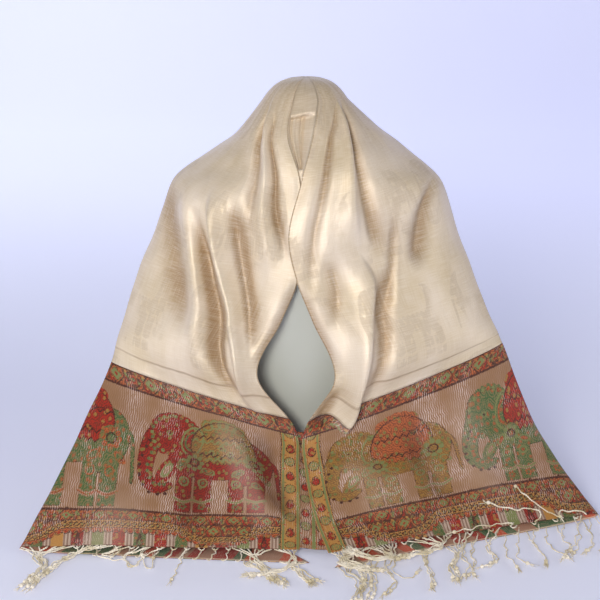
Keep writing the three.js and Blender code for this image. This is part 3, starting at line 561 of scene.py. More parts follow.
def weave_end(u, v, facing_in, colours):
    """The yarns of one figured end. u runs from the inner selvedge and v from the hem."""
    pattern = Pattern(u.shape)
    add, clear = pattern.add, pattern.clear
    dip, _ = repeat(u, CHAIN_PITCH, -24)
    chain = CHAIN - CHAIN_DIP * np.exp(-(dip / 44) ** 4)
    # the elephants, in the field between the bands
    wide, high = ELEPHANT_SCALE
    for k, (body, saddle, trim, spots) in enumerate(colours):
        start = BORDER - 2 + k * ELEPHANT_PITCH
        x = (u - start if facing_in else start + ELEPHANT * wide - u) / wide
        elephant(pattern, x, (v - FEET) / high, body, saddle, trim, spots)
    # the band at the top of the end and the taller one below the elephants
    low, high = TOP_BAND
    band = np.minimum(v - low, high - v)
    lower = np.minimum(v - chain, FLORAL_TOP - v)
    both = np.maximum(band, lower)
    clear(both + 1)
    add("earth", both)
    floral_row(pattern, u, v - (low + high) / 2, (high - low) / 2 - 2, 27, 4)
    for middle, half, pitch, shift in FLORAL_ROWS:
        floral_row(pattern, u, v - middle, half, pitch, shift)
    for line in (band - 1.6, FLORAL_TOP - v - 1.6):
        add("orange", 1.1 - np.abs(line - 1.8 + 1.2 * np.sin(u / 1.6)))
        add("dark", 1.0 - np.abs(line))
    in_field = np.logical_and(v > FLORAL_TOP, v <= low)
    for yarn in ("leaf", "orange", "green", "scarlet", "ochre"):
        inside = pattern.inside[yarn]
        pattern.inside[yarn] = np.where(in_field, inside, np.minimum(inside, both - 0.5))
    # below the chain: blocks of colour with ribbed stripes between them
    below = chain - v
    clear(below)
    x, number = repeat(u, BLOCK_PITCH, 6)
    add("ribs", below)
    hem_block = np.minimum(block(x, v, 8.0, 400), below - 6)
    for k, yarn in enumerate(BLOCKS):
        add(yarn, np.where(np.mod(number, len(BLOCKS)) == k, hem_block, OUTSIDE))
    flame = np.maximum(oval(x, v - 9, 3.4, 7), oval(x, v - 16, 1.8, 6))
    add("dark", np.where(np.mod(number, 3) == 1, np.minimum(edge(flame, 1.0), below - 9), OUTSIDE))
    # the chain of rings on its wavy line, edged with scallops
    clear(7 - np.abs(v - chain + 2))
    add("ochre", 4.6 - np.abs(v - chain))
    x, _ = repeat(u, 7.6)
    add("dark", ring(x, v - chain, 2.5, 0.85))
    add("leaf", disc(x, v - chain, 1.5))
    add("dark", 0.7 - np.abs(np.abs(v - chain) - 4.7))
    x, _ = repeat(u, 9.4)
    scallop = disc(x, v - chain + 8.2, 3.6)
    add("orange", scallop)
    add("orange", 0.9 - np.abs(v - chain + 6.4))
    add("scarlet", disc(x, v - chain + 9.6, 1.8))
    add("dark", edge(scallop, 0.6, -0.8), chain - 7.0 - v)
    # the border along the selvedge: paisleys and snails in turn on ochre, between green edges
    border = np.minimum(BORDER - u, low - v)
    clear(border)
    add("ochre", border)
    add("leaf", 1.7 - np.abs(u - 2.6), border)
    add("leaf", 1.6 - np.abs(u - BORDER + 3.4), border)
    add("dark", 0.8 - np.abs(u - BORDER))
    add("orange", 0.8 - np.abs(u - 5.6), border)
    x = u - BORDER / 2
    y, number = repeat(v, BORDER_PITCH)
    odd = np.mod(number, 2) == 1
    drop = paisley(x, y + 3, 4.8)
    snail = np.maximum(ring(x, y, 5.2, 1.1), ring(x, y, 1.6, 1.1))
    add("scarlet", np.where(odd, drop, OUTSIDE), border)
    add("gold", np.where(odd, edge(drop, 0.9, 2.6), OUTSIDE), border)
    add("dark", np.where(odd, edge(drop, 0.8, -0.6), ring(x, y, 7.2, 0.7)), border)
    add("leaf", np.where(odd, OUTSIDE, snail), border)
    add("orange", np.where(odd, OUTSIDE, disc(x, y, 1.2)), border)
    add("orange", disc(u - 19.5, y - 11, 2.2), border)
    # the last millimetres before the fringe are plain
    add("earth", 2.0 - v)
    return pattern.inside


# The shader's wiring
class Wire:
    """A socket's value. Arithmetic on it adds Math nodes to its material."""

    def __init__(self, material, socket):
        self.material, self.socket = material, socket

    def math(self, operation, *others):
        return self.material.node("ShaderNodeMath", dict(operation=operation), [self, *others])

    def __add__(self, other):
        return self.math("ADD", other)

    def __sub__(self, other):
        return self.math("SUBTRACT", other)

    def __mul__(self, other):
        return self.math("MULTIPLY", other)

    def __truediv__(self, other):
        return self.math("DIVIDE", other)

    def __rsub__(self, other):
        return self.material.node("ShaderNodeMath", dict(operation="SUBTRACT"), [other, self])

    __radd__, __rmul__ = __add__, __mul__

    def sine(self):
        return self.math("SINE")

    def above(self, level, soft):
        """0 below the level and 1 above it, with a soft step between."""
        ends = {"Value": self, "From Min": level - soft / 2, "From Max": level + soft / 2}
        return self.material.node("ShaderNodeMapRange", dict(interpolation_type="SMOOTHSTEP"), ends)


class Finish:
    """A material that is built node by node."""

    def __init__(self, name):
        self.material = bpy.data.materials.new(name)
        self.material.use_nodes = True
        self.nodes, self.links = self.material.node_tree.nodes, self.material.node_tree.links
        self.nodes.clear()

    def node(self, kind, settings=None, inputs=(), output=0):
        """A node of a kind. Its settings come first, then the values or links of its sockets."""
        made = self.nodes.new(kind)
        for name, value in (settings or {}).items():
            setattr(made, name, value)
        pairs = inputs.items() if isinstance(inputs, dict) else enumerate(inputs)
        for name, value in pairs:
            if isinstance(value, Wire):
                self.links.new(value.socket, made.inputs[name])
            else:
                made.inputs[name].default_value = value
        return Wire(self, made.outputs[output])

    def part(self, vector, axis):
        """One of a vector's three numbers."""
        return self.node("ShaderNodeSeparateXYZ", {}, [vector], axis)

    def place(self):
        """Where a point lies on its object, in metres."""
        return self.node("ShaderNodeTexCoord", {}, [], 3)

    def cloth_place(self):
        """Where a point lies on the flat cloth: across and along, in millimetres."""
        uv = self.node("ShaderNodeUVMap", dict(uv_map="cloth"))
        across, along = self.part(uv, 0), self.part(uv, 1)
        return across * 1000, along * 1000

    def value(self, name):
        """The number that set_values gave a point under this name."""
        return self.node("ShaderNodeAttribute", dict(attribute_name=name), {}, 2)

    def chance(self, place):
        """A number between 0 and 1 for each whole place."""
        return self.node("ShaderNodeTexWhiteNoise", dict(noise_dimensions="2D"), {"Vector": place})

    def vector(self, x, y, z=0.0):
        """A vector from its three numbers."""
        return self.node("ShaderNodeCombineXYZ", {}, [x, y, z])

    def noise(self, place, scale, detail=2.0, rough=0.5):
        """Cloudy noise around one half."""
        inputs = {"Vector": place, "Scale": scale, "Detail": detail, "Roughness": rough}
        return self.node("ShaderNodeTexNoise", {}, inputs)

    def blend(self, factor, a, b):
        """A colour between two others."""
        return self.node("ShaderNodeMix", dict(data_type="RGBA"), {0: factor, 6: a, 7: b}, 2)

    def bump(self, height, strength, distance, normal=None):
        """A normal bent by a height in millimetres times the distance."""
        inputs = {"Strength": strength, "Distance": distance * MM, "Height": height}
        if normal:
            inputs["Normal"] = normal
        return self.node("ShaderNodeBump", {}, inputs)

    def finish(self, color, roughness, normal=None, **constants):
        """The material, with a colour, a roughness and what else its surface takes."""
        inputs = {"Base Color": color, "Roughness": roughness}
        if normal:
            inputs["Normal"] = normal
        inputs.update({name.replace("_", " "): value for name, value in constants.items()})
        shader = self.node("ShaderNodeBsdfPrincipled", {}, inputs)
        output = self.nodes.new("ShaderNodeOutputMaterial")
        self.links.new(shader.socket, output.inputs["Surface"])
        return self.material


def rgb(red, green, blue):
    """The linear colour that the shader takes for values from 0 to 255 as a screen shows them."""
    shown = (red, green, blue)
    return tuple(((c / 255 + 0.055) / 1.055) ** 2.4 if c > 10 else c / 3294 for c in shown) + (1,)


CREASE = 349  # how far over the hem the field was pressed in a fold
CROWN_SHADE = 740  # how far over the hem the crown starts to take painted golden shade
# Colours of the cream cloth: those for the crown, the hollows and the crease are painted shade, and the
# slub colour is painted sheen
CREAM = dict(light=(228, 211, 188), deep=(212, 192, 158), figure=(200, 181, 154), crown=(178, 150, 104),
             hollow=(158, 124, 80), selvedge=(150, 114, 66), crease_shade=(150, 116, 74), slub_and_sheen=(242, 232, 218))


def cream_cloth():
    """Satin-woven cream: slubs both ways and figures in its own colour, with painted sheen on the slubs and
    painted golden shade in its hollows, over the crown and along the crease.
    """
    tone = {name: rgb(*shown) for name, shown in CREAM.items()}
    f = Finish("cream_cloth")
    across, along = f.cloth_place()
    weft = f.noise(f.vector(across * 0.03, along * 0.8), 1.0, 3.0)
    warp = f.noise(f.vector(across * 0.8, along * 0.02), 1.0, 3.0)
    slub_and_sheen = weft * 0.6 + warp * 0.4
    cloud = f.noise(f.vector(across * 0.012, along * 0.009), 1.0)
    figure = f.value("figure")
    fray = f.noise(f.vector(across * 0.12, along * 0.07), 1.0)
    patch = figure.above(0.0, 1.6) * cloud.above(0.46, 0.16) * fray.above(0.4, 0.1)
    hollow = f.value("hollow")
    bent = along + (cloud - 0.5) * 9
    # painted shade along the line where the field was folded and pressed
    crease_shade = 1 - (bent - CREASE).math("ABSOLUTE").above(1.6, 2.4)
    base = f.blend(cloud.above(0.5, 0.5), tone["light"], tone["deep"])
    toned = f.blend(patch * 0.5, base, tone["figure"])
    # painted shade: the crown is tinted darker and golden, as its top faces away from the light
    toned = f.blend(along.above(CROWN_SHADE, 130.0) * 0.4, toned, tone["crown"])
    # painted shade: the deeper a point lies in a fold hollow, the more it takes the golden shade colour
    toned = f.blend(hollow.above(4.0, 9.0) * 0.85, toned, tone["hollow"])
    # a darker golden-brown band along each selvedge
    selvedge = 1 - (2 * WIDTH - (across - 2 * WIDTH).math("ABSOLUTE")).above(2.6, 1.2)
    toned = f.blend(selvedge * 0.6, toned, tone["selvedge"])
    # the painted shade of the crease
    toned = f.blend(crease_shade * 0.45, toned, tone["crease_shade"])
    # slub streaks: the yarn's own slubs, drawn in a pale colour that is painted sheen
    color = f.blend((slub_and_sheen - 0.42) * 1.6, toned, tone["slub_and_sheen"])
    # long soft ripples, the pressed fold, and the threads
    ripple = f.noise(f.vector(across * 0.02, along * 0.008), 1.0, 2.0)
    wrinkle = f.noise(f.vector(across * 0.05 + along * 0.025, along * 0.02), 1.0, 2.0)
    rolled = f.bump(ripple * 1.6 + wrinkle * 0.9 + (bent - CREASE).above(0.0, 6.0) * 0.9, 0.8, 1.0)
    threads = (across * 9.0).sine() * 0.5 + (along * 9.0).sine() * 0.5
    normal = f.bump(slub_and_sheen * 1.0 + threads * 0.14, 0.3, 0.5, rolled)
    return f.finish(color, 0.44 + patch * 0.16, normal, Metallic=0.24, Sheen_Weight=0.35,
                    Sheen_Roughness=0.3)


YARN_COLORS = dict(
    ribs=(140, 112, 94), earth=(96, 52, 34), ochre=(184, 132, 66), red=(158, 28, 16), green=(58, 98, 52),
    gold=(158, 118, 52), leaf=(122, 130, 76), orange=(188, 96, 50), scarlet=(172, 36, 20),
    dark=(62, 24, 18),
)
# Colours of the figured ground. The glint and ridge colours are painted highlight and the hollow colour
# painted shade; the line and mauve colours are the threads' own, shown only in patches as painted
# highlight.
GROUND = dict(brown=(150, 111, 76), line=(220, 196, 188), mauve=(186, 150, 134), thread=(124, 84, 56),
              glint=(226, 206, 198), hollow=(70, 34, 22), ridge=(236, 214, 196), rib=(190, 166, 148))
BLOOM_PITCH = 10.5
# What fills the bodies of the figures beside their own yarn: the rings of small blooms, and their hearts
FILIGREE = dict(red=((92, 22, 16), (128, 120, 58)), green=((132, 118, 74), (172, 90, 50)),
                gold=((116, 72, 42), (96, 112, 56)), orange=((116, 60, 32), (112, 120, 62)),
                scarlet=((104, 36, 22), (158, 126, 60)))


def figured_cloth():
    """Jacquard: a mauve-brown ground with fine wavy lines, and the yarns of the figures over it; painted
    highlights on the lines, painted shade in the fold hollows and painted highlight on their ridges.
    """
    tone = {name: rgb(*shown) for name, shown in GROUND.items()}
    f = Finish("figured_cloth")
    across, along = f.cloth_place()
    thread = f.chance(f.vector((across / 0.9).math("FLOOR"), (along / 1.4).math("FLOOR")))
    wobble = f.noise(f.vector(across, along), 0.62, 1.0)
    cloud = f.noise(f.vector(across * 0.02, along * 0.02), 1.0)
    # the ground: pale wavy lines of thread down the cloth on brown
    sway = f.noise(f.vector(across * 0.03, along * 0.16), 1.0)
    wave = across + (along * 0.6).sine() * 0.4 + (sway - 0.5) * 6
    broken = f.noise(f.vector(across * 0.5, along * 0.12), 1.0)
    line = (wave * (2 * math.pi / 3.1)).sine() + (thread - 0.5) * 0.7 + (broken - 0.5) * 3
    # painted highlight: the lines turn pale only in cloudy patches, where they would catch the light
    lit = line.above(0.35, 0.9) * cloud.above(0.5, 0.3) * 0.85
    color = f.blend(lit, tone["brown"], tone["line"])
    # a mauve tint on the lines, partly their own colour and partly painted highlight in the same patches
    mauve = line.above(0.2, 1.2) * (0.18 + cloud.above(0.48, 0.3) * 0.3)
    color = f.blend(mauve, color, tone["mauve"])
    rib = (across * (2 * math.pi / 4.6)).sine().above(0.1, 0.6)
    grooves = line.above(0.3, 0.9)
    # small blooms all over the bodies of the figures
    bent = f.vector(across + (wobble - 0.5) * 5, along + (wobble - 0.5) * -5)
    bloom = f.node("ShaderNodeTexVoronoi", dict(voronoi_dimensions="2D"),
                   {"Vector": bent, "Scale": 1 / BLOOM_PITCH})
    petals = (bloom * 24).sine().above(0.1, 0.6)
    middles = 1 - bloom.above(0.2, 0.06)
    for yarn, shown in YARN_COLORS.items():
        mask = (f.value(yarn) + (wobble - 0.5) * 2.8).above(0.0, 0.7)
        dyed = rgb(*shown)
        if yarn == "ribs":
            dyed = f.blend(rib, dyed, tone["rib"])
        if yarn in FILIGREE:
            lines, hearts = FILIGREE[yarn]
            dyed = f.blend(petals * 0.85, dyed, rgb(*lines))
            dyed = f.blend(middles * 0.85, dyed, rgb(*hearts))
        color = f.blend(mask, color, dyed)
    # single threads of the ground show through everywhere
    color = f.blend(thread * 0.2, color, tone["thread"])
    # painted glints: pinkish-white highlights on the lines, in patches
    color = f.blend(line.above(0.9, 0.8) * cloud.above(0.54, 0.16) * 0.55, color, tone["glint"])
    # painted shade in the hollows of the folds, painted highlight on their ridges
    hollow = f.value("hollow")
    color = f.blend(hollow.above(3.0, 7.0) * 0.42, color, tone["hollow"])
    color = f.blend((0 - hollow).above(5.0, 9.0) * 0.16, color, tone["ridge"])
    normal = f.bump(grooves * 0.5 + thread * 0.3, 0.5, 0.4)
    return f.finish(color, 0.5, normal, Sheen_Weight=0.12, Sheen_Roughness=0.4, Specular_IOR_Level=0.4)


BLOCK_HEIGHT = 22  # of the blocks of colour over the hem
# The colours of those blocks, each from its share of the chances on
BLOCK_TONES = ((0.28, (160, 40, 30)), (0.52, (70, 102, 68)), (0.74, (168, 124, 100)))


def wrong_side():
    """The back of the figured cloth: red and dark yarns float, and blocks of colour lie along the hem."""
    f = Finish("wrong_side")
    across, along = f.cloth_place()
    thread = f.noise(f.vector(across * 0.9, along * 0.2), 1.0)
    chance = f.chance(f.vector((across / 15.0).math("FLOOR"), 0.0))
    blocks = rgb(196, 78, 44)
    for level, shown in BLOCK_TONES:
        blocks = f.blend(chance.above(level, 0.02), blocks, rgb(*shown))
    floats = f.blend((across * 0.25).sine().above(0.2, 0.6), rgb(128, 34, 28), rgb(98, 56, 40))
    color = f.blend(along.above(BLOCK_HEIGHT, 3.0), blocks, floats)
    color = f.blend(thread.above(0.55, 0.1) * 0.5, color, rgb(186, 150, 126))
    color = f.blend((1 - along.above(2.5, 1.5)) * 0.7, color, rgb(222, 196, 170))
    return f.finish(color, 0.6, f.bump(thread, 0.4, 0.4), Sheen_Weight=0.2)


def form_plastic():
    """Moulded plastic, a little darker at places."""
    f = Finish("form_plastic")
    color = rgb(212, 214, 202)
    darker = tuple(0.92 * c for c in color[:3]) + (1,)
    return f.finish(f.blend(f.noise(f.place(), 6.0), color, darker), 0.3)


FIGURE_PITCH = 172  # along the cloth, from one row of the field's own figures to the next


def self_figures(u, v):
    """Elephants woven in the field's own colour: how far each point lies inside one."""
    y, row = repeat(v, FIGURE_PITCH, 12)
    x, number = repeat(u, ELEPHANT_PITCH, 20)
    x = np.where(np.mod(row + number, 2) == 1, x, -x) + ELEPHANT / 2
    pattern = Pattern(u.shape)
    elephant(pattern, x, y + ELEPHANT_TALL / 2, "red", "gold", "leaf", "green")
    return np.minimum(pattern.inside["red"], -pattern.inside["gold"])


def forehead_grid(start, end, t, share):
    """What closes the crown between the front edges: a brow that bows out, then the throat behind."""
    grid = start[:, None] + (end - start)[:, None] * share[None, :, None]
    turned = ease((t - FOREHEAD_CREASE) / CREASE_LENGTH)
    grid[..., 1] -= np.outer(ease(1 + t) * (1 - turned), FOREHEAD_BOW * np.sin(math.pi * share))
    hollow = np.minimum(ease(share / 0.5), ease((1 - share) / 0.12))
    pleats = 1 + 0.22 * np.sin(13 * share + 1) + 0.12 * np.sin(29 * share)
    grid[..., 1] += np.outer(turned * THROAT_DEPTH, hollow * pleats)
    return grid


def build_field(material):
    """The plain field: both fronts, the back, the crown and the throat as one cloth."""
    hanging = [[row._replace(back=BACK_FOOT) if row.v < HANGING else row for row in table]
               for table in (LEFT, RIGHT)]
    q = columns(FRONT_COLUMNS, BACK_COLUMNS)
    crown_t = np.linspace(-1, 0, CROWN_RINGS + 1)[1:-1]
    t = np.concatenate([crown_t, np.linspace(0, BAND, FIELD_ROWS + 1)])
    left, left_rise = draped(hanging[0], LEFT_FOLDS, -1, t, q)
    right, right_rise = draped(hanging[1], RIGHT_FOLDS, 1, t, q)
    middle = (left[:, -1] + right[:, -1]) / 2
    for k in range(1, SEAM_COLUMNS):
        for half in (left, right):
            half[:, -1 - k] += (middle - half[:, -1]) * (1 - k / SEAM_COLUMNS)
    left[:, -1] = middle
    cloth = np.concatenate([left, right[:, -2::-1]], axis=1)
    across = np.concatenate([q * WIDTH, (4 - q[-2::-1]) * WIDTH])
    down = through([row.v for row in LEFT], t.clip(0)) + np.minimum(t, 0) * CROWN_RISE
    share = np.linspace(0, 1, FOREHEAD_COLUMNS + 1)[1:-1]
    rows = int((t < FOREHEAD_END).sum())  # those that the forehead closes to a ring
    forehead = forehead_grid(cloth[:rows, -1], cloth[:rows, 0], t[:rows], share)
    number = np.arange(cloth.shape[0] * cloth.shape[1]).reshape(cloth.shape[:2])
    extra = number.size + np.arange(rows * len(share)).reshape(rows, -1)
    around = np.concatenate([number[:rows], extra, number[:rows, :1]], axis=1)
    points = np.concatenate([cloth.reshape(-1, 3), forehead.reshape(-1, 3), [(0, 0, CROWN_TOP)]])
    top = len(points) - 1
    faces = [tuple(face) for face in quads(number[rows - 1:]) + quads(around)]
    faces += [(top, b, a) for a, b in zip(around[0, :-1], around[0, 1:])]
    middle_u = np.broadcast_to(WIDTH + FOREHEAD_WIDTH * share, extra.shape).ravel()
    u = np.concatenate([np.broadcast_to(across, number.shape).ravel(), middle_u, [WIDTH]])
    v = np.concatenate([np.repeat(down, number.shape[1]), np.repeat(down[:rows], len(share)), [TOP_V]])
    # how deep each point lies in a fold; the cloth's material paints shade from it
    depth = np.concatenate([left_rise, right_rise[:, -2::-1]], axis=1)
    hollow = np.concatenate([-depth.ravel(), np.zeros(extra.size + 1)])
    values = dict(figure=self_figures(u, v), hollow=hollow)
    return woven("shawl_field", points, faces, [material], u, v, values)


# Yarns of the two elephants of each end: body, saddle, trim and spots, for the inner one and the outer one
LEFT_YARNS = (("red", "gold", "leaf", "green"), ("green", "scarlet", "orange", "red"))
RIGHT_YARNS = (("gold", "orange", "leaf", "green"), ("green", "scarlet", "leaf", "orange"))


def over_hem(t):
    """How far over the hem a place among the sections lies, along the woven end."""
    return (HEM - t) / (HEM - BAND) * END_LENGTH


def build_end(name, table, folds, side, yarns, materials):
    """One woven end: its upper layer, the fold at the side, and its under layer."""
    q = columns(END_COLUMNS, UNDER_COLUMNS)
    t = np.linspace(BAND, HEM, END_ROWS + 1)
    cloth, rise = draped(table, folds, side, t, q)
    behind = np.logical_and(t[:, None] < BACK_JOIN[0], q[None, :] > BACK_JOIN[1])
    own_side = np.maximum(cloth[..., 0] * side, 0.5) * side
    cloth[..., 0] = np.where(behind, own_side, cloth[..., 0])
    across = np.stack([lengths(row) for row in plain_grid(table, t, q)])
    if side > 0:
        cloth, across, rise = cloth[:, ::-1], across[:, ::-1], rise[:, ::-1]
    along = np.broadcast_to(over_hem(t)[:, None], across.shape)
    values = weave_end(across, along, side > 0, yarns)
    # the folds' depth, from which the material paints shade in the hollows and highlight on the ridges
    values["hollow"] = -rise
    return woven(name, cloth.reshape(-1, 3), grid_faces(*across.shape), materials, across, along, values)


# The fringe: ropes of two plies that end in a knot and a frayed tuft
STRAND = 96  # longest strand
STRAND_POINTS = 27
PLY, PLY_OFF, PLY_PITCH = 0.7, 0.62, 7.5  # radius of a ply, how far it winds out, length of a turn
KNOT = (0.8, 2.3, 2.8, 2.2, 0.9)  # radii along the knot
KNOT_SPAN = (-1.5, 5)  # from where to where it lies, from the end of the rope
TUFT_FIBRES, TUFT = 8, 9.5  # how many fibres fray out behind the knot, and their length
FIBRE = (0.6, 0.5, 0.4, 0.25)  # radii along a fibre
FIBRE_GAP = 0.8  # least height of a fibre's middle over the table
PLY_SIDES, KNOT_SIDES, FIBRE_SIDES = 5, 6, 3
ROPE_GAP = 1.5  # least height of a rope's middle over the table
SIDE_WAVES, RISING_WAVE = ((31, 1.8), (15, 0.9)), (23, 0.9)  # length and height of a strand's small waves

# Bundles: from which share of the hem to which, how many strands, how far apart their ends lie, and the
# places that they run through. A share is 0 at the inner selvedge and 1 at the outer fold for the upper
# layer, and from there goes on to 2 for the under layer.
Bundle = namedtuple("Bundle", "start end count spread path")
LEFT_BUNDLES = [Bundle(*row) for row in (
    # swept under the lifted hem and out to the corner
    (0.8, 0.99, 7, 7, [(-345, -286, 4), (-335, -310, 3), (-346, -345, 2), (-360, -382, 2)]),
    (0.66, 0.79, 6, 6, [(-300, -281, 3), (-320, -307, 3), (-337, -340, 2), (-354, -372, 2)]),
    # loops that show below the hem
    (0.6, 0.63, 2, 3, [(-262, -284, 3), (-250, -291, 3), (-243, -273, 4), (-241, -248, 4)]),
    (0.57, 0.58, 1, 2, [(-228, -281, 3), (-243, -299, 2), (-268, -289, 3), (-279, -262, 3)]),
    (0.53, 0.54, 2, 2, [(-236, -288, 3), (-228, -306, 2), (-218, -311, 2), (-212, -288, 3),
                        (-214, -255, 4)]),
    (0.48, 0.49, 1, 2, [(-209, -288, 3), (-206, -314, 2), (-196, -316, 2), (-197, -290, 3),
                        (-200, -258, 4)]),
    (0.4, 0.41, 1, 2, [(-161, -289, 3), (-164, -318, 2), (-169, -344, 2)]),
    # the bunch beside the opening
    (0.1, 0.24, 6, 8, [(-70, -292, 5), (-60, -312, 3), (-46, -331, 2), (-36, -350, 2)]),
    (0.01, 0.09, 6, 8, [(-18, -296, 6), (-24, -318, 4), (-46, -330, 3), (-66, -336, 3)]),
    (1.0, 1.1, 3, 6, [(-354, -284, 3), (-340, -311, 2), (-342, -345, 2), (-350, -378, 2)]),
    (1.78, 1.86, 3, 6, [(-78, -306, 2), (-60, -318, 2), (-48, -340, 2)]),
    (1.9, 1.99, 5, 8, [(-14, -313, 3), (-6, -328, 2), (6, -345, 2)]),
)]
RIGHT_BUNDLES = [Bundle(*row) for row in (
    # the tangled bunch beside the opening, and the strands that lie along the hem towards it
    (0.01, 0.12, 10, 9, [(50, -308, 7), (68, -320, 5), (76, -345, 3), (68, -386, 2)]),
    (0.04, 0.16, 6, 9, [(46, -314, 8), (70, -324, 7), (96, -322, 4), (110, -350, 2), (94, -388, 2)]),
    (0.14, 0.24, 9, 7, [(108, -300, 10), (84, -308, 12), (62, -300, 14), (50, -286, 16)]),
    (0.28, 0.44, 7, 6, [(176, -272, 9), (132, -296, 9), (96, -310, 10), (66, -314, 12)]),
    # hanging tassels
    (0.47, 0.52, 3, 6, [(196, -282, 4), (187, -309, 3), (189, -352, 2), (184, -380, 2)]),
    (0.58, 0.62, 2, 3, [(236, -268, 4), (245, -290, 3), (237, -306, 2), (214, -317, 2)]),
    (0.9, 0.93, 2, 5, [(362, -228, 4), (352, -262, 3), (338, -290, 2), (330, -312, 2)]),
    (1.93, 1.99, 4, 8, [(54, -330, 2), (68, -352, 2), (60, -396, 2)]),
    (1.84, 1.9, 3, 5, [(82, -330, 2), (85, -358, 2), (76, -398, 2)]),
    (1.79, 1.82, 2, 4, [(102, -322, 2), (111, -352, 2), (90, -394, 2)]),
    (1.76, 1.77, 1, 2, [(108, -317, 2), (121, -343, 2), (137, -331, 2), (141, -300, 3), (139, -270, 4)]),
    (1.66, 1.69, 3, 5, [(154, -302, 2), (160, -338, 2), (157, -380, 2)]),
    (1.56, 1.6, 3, 4, [(195, -286, 3), (184, -310, 2), (187, -353, 2), (182, -378, 2)]),
    (1.52, 1.54, 2, 4, [(203, -291, 2), (210, -313, 2), (198, -344, 2), (196, -380, 2)]),
    (1.49, 1.5, 2, 3, [(214, -285, 2), (216, -304, 2), (210, -328, 2), (220, -341, 2)]),
    (1.43, 1.45, 1, 2, [(240, -277, 2), (244, -291, 2), (238, -307, 2), (212, -319, 2)]),
    (1.37, 1.38, 1, 2, [(259, -280, 2), (266, -312, 2), (273, -343, 2)]),
    (1.32, 1.33, 1, 2, [(276, -268, 2), (274, -290, 2), (284, -302, 2), (292, -286, 2)]),
    (1.26, 1.29, 2, 4, [(298, -254, 2), (304, -276, 2), (305, -300, 2), (289, -333, 2)]),
    (1.21, 1.22, 1, 2, [(316, -248, 2), (322, -268, 2), (334, -288, 2)]),
    (1.14, 1.17, 2, 4, [(340, -238, 2), (346, -258, 2), (333, -290, 2), (320, -327, 2)]),
    (1.04, 1.07, 2, 4, [(379, -226, 2), (375, -257, 2), (358, -285, 2), (362, -323, 2)]),
    (1.0, 1.02, 2, 5, [(398, -208, 3), (394, -240, 2), (384, -275, 2), (392, -304, 2)]),
)]
# Strands that lie on the cloth itself: the share of the hem that they leave, and where they run, as places
# among the sections and shares across
RIGHT_LYING = [
    (0.66, [(9.93, 0.67), (9.88, 0.56), (9.92, 0.46), (9.9, 0.4)]),
    (0.75, [(9.9, 0.78), (9.72, 0.79), (9.66, 0.74), (9.6, 0.68), (9.46, 0.62)]),
    (0.86, [(9.92, 0.84), (9.78, 0.82), (9.5, 0.78), (9.3, 0.76)]),
    (0.95, [(9.9, 0.94), (9.82, 0.9), (9.86, 0.86), (9.95, 0.85)]),
]
# Strands tucked back between the layers: from which share of the hem to which, and how many
LEFT_TUCKED, RIGHT_TUCKED = (0.26, 0.8, 12), (0.26, 0.9, 9)


class Strands:
    """Many tubes gathered into one mesh."""

    def __init__(self):
        self.points, self.faces, self.count = [], [], 0

    def tube(self, path, radii, sides):
        """A closed tube along a path, of one radius or one for each of its points."""
        path = np.asarray(path, float)
        along, side, other = moving_frame(path)
        angle = np.arange(sides) / sides * 2 * math.pi
        radii = np.broadcast_to(radii, len(path))[:, None, None]
        wheel = np.cos(angle)[None, :, None] * side[:, None] + np.sin(angle)[None, :, None] * other[:, None]
        self.points.append((path[:, None] + radii * wheel).reshape(-1, 3))
        self.faces += grid_faces(len(path), sides, self.count, closed=True)
        last = self.count + (len(path) - 1) * sides
        self.faces.append([self.count + k for k in reversed(range(sides))])
        self.faces.append([last + k for k in range(sides)])
        self.count += len(path) * sides

    def rope(self, path, chance):
        """A twisted rope along a path, with a knot and a tuft at its end."""
        along, side, other = moving_frame(path)
        for ply in range(2):
            turn = ((lengths(path) / PLY_PITCH * 2 + ply) * math.pi)[:, None]
            self.tube(path + PLY_OFF * (np.cos(turn) * side + np.sin(turn) * other), PLY, PLY_SIDES)
        heading = along[-1]
        heading[2] = min(heading[2], 0) * 0.2
        knot = path[-1] + heading * np.linspace(*KNOT_SPAN, len(KNOT))[:, None]
        knot[:, 2] = np.maximum(knot[:, 2], max(KNOT) + 0.1)
        self.tube(knot, KNOT, KNOT_SIDES)
        for _ in range(TUFT_FIBRES):
            spread = heading + chance.uniform(-0.5, 0.5, 3)
            length = TUFT * chance.uniform(0.6, 1)
            fibre = knot[-1] + spread * np.linspace(0, length, len(FIBRE))[:, None]
            fibre += chance.uniform(-0.7, 0.7, fibre.shape) * np.array([0, 0.4, 1, 1])[:, None]
            fibre[:, 2] = np.maximum(fibre[:, 2], FIBRE_GAP)
            self.tube(fibre, FIBRE, FIBRE_SIDES)

    def piece(self, name, material):
        """All of the strands as one object."""
        return new_object(name, np.concatenate(self.points), self.faces, [material])


# The strips between the fronts: from which place among the sections to which, and in how many rows and
# columns of points; then how far off the left edge they start and off the right cloth they end
SELVEDGE_SPAN, SELVEDGE_ROWS, SELVEDGE_COLUMNS = (7.02, 9.86), 110, 26
SELVEDGE_LEFT, SELVEDGE_RIGHT = (-5, 0, 0), (3, 0, 0)
SELVEDGE_BELOW, SELVEDGE_SLACK, SELVEDGE_BEHIND = 1.7, 1.6, 1.5
LAP_SPAN, LAP_ROWS, LAP_COLUMNS = (1.75, 4.12), 60, 15
LAP_LEFT, LAP_RIGHT = (-3, 1.6, 0), (0, 4, 0)
BESIDE_EDGE = np.linspace(0, 0.1, 8)  # columns beside a front edge, as shares across the cloth


def strip_between(t, share, off_left, right_column, off_right):
    """A strip from the left cloth's front edge to a column near the right one's."""
    q = BESIDE_EDGE
    left, _ = draped(LEFT, LEFT_FOLDS, -1, t, q)
    right, _ = draped(RIGHT, RIGHT_FOLDS, 1, t, q)
    start, end = left[:, 0] + off_left, right[:, right_column] + off_right
    return start[:, None] + (end - start)[:, None] * share[None, :, None]


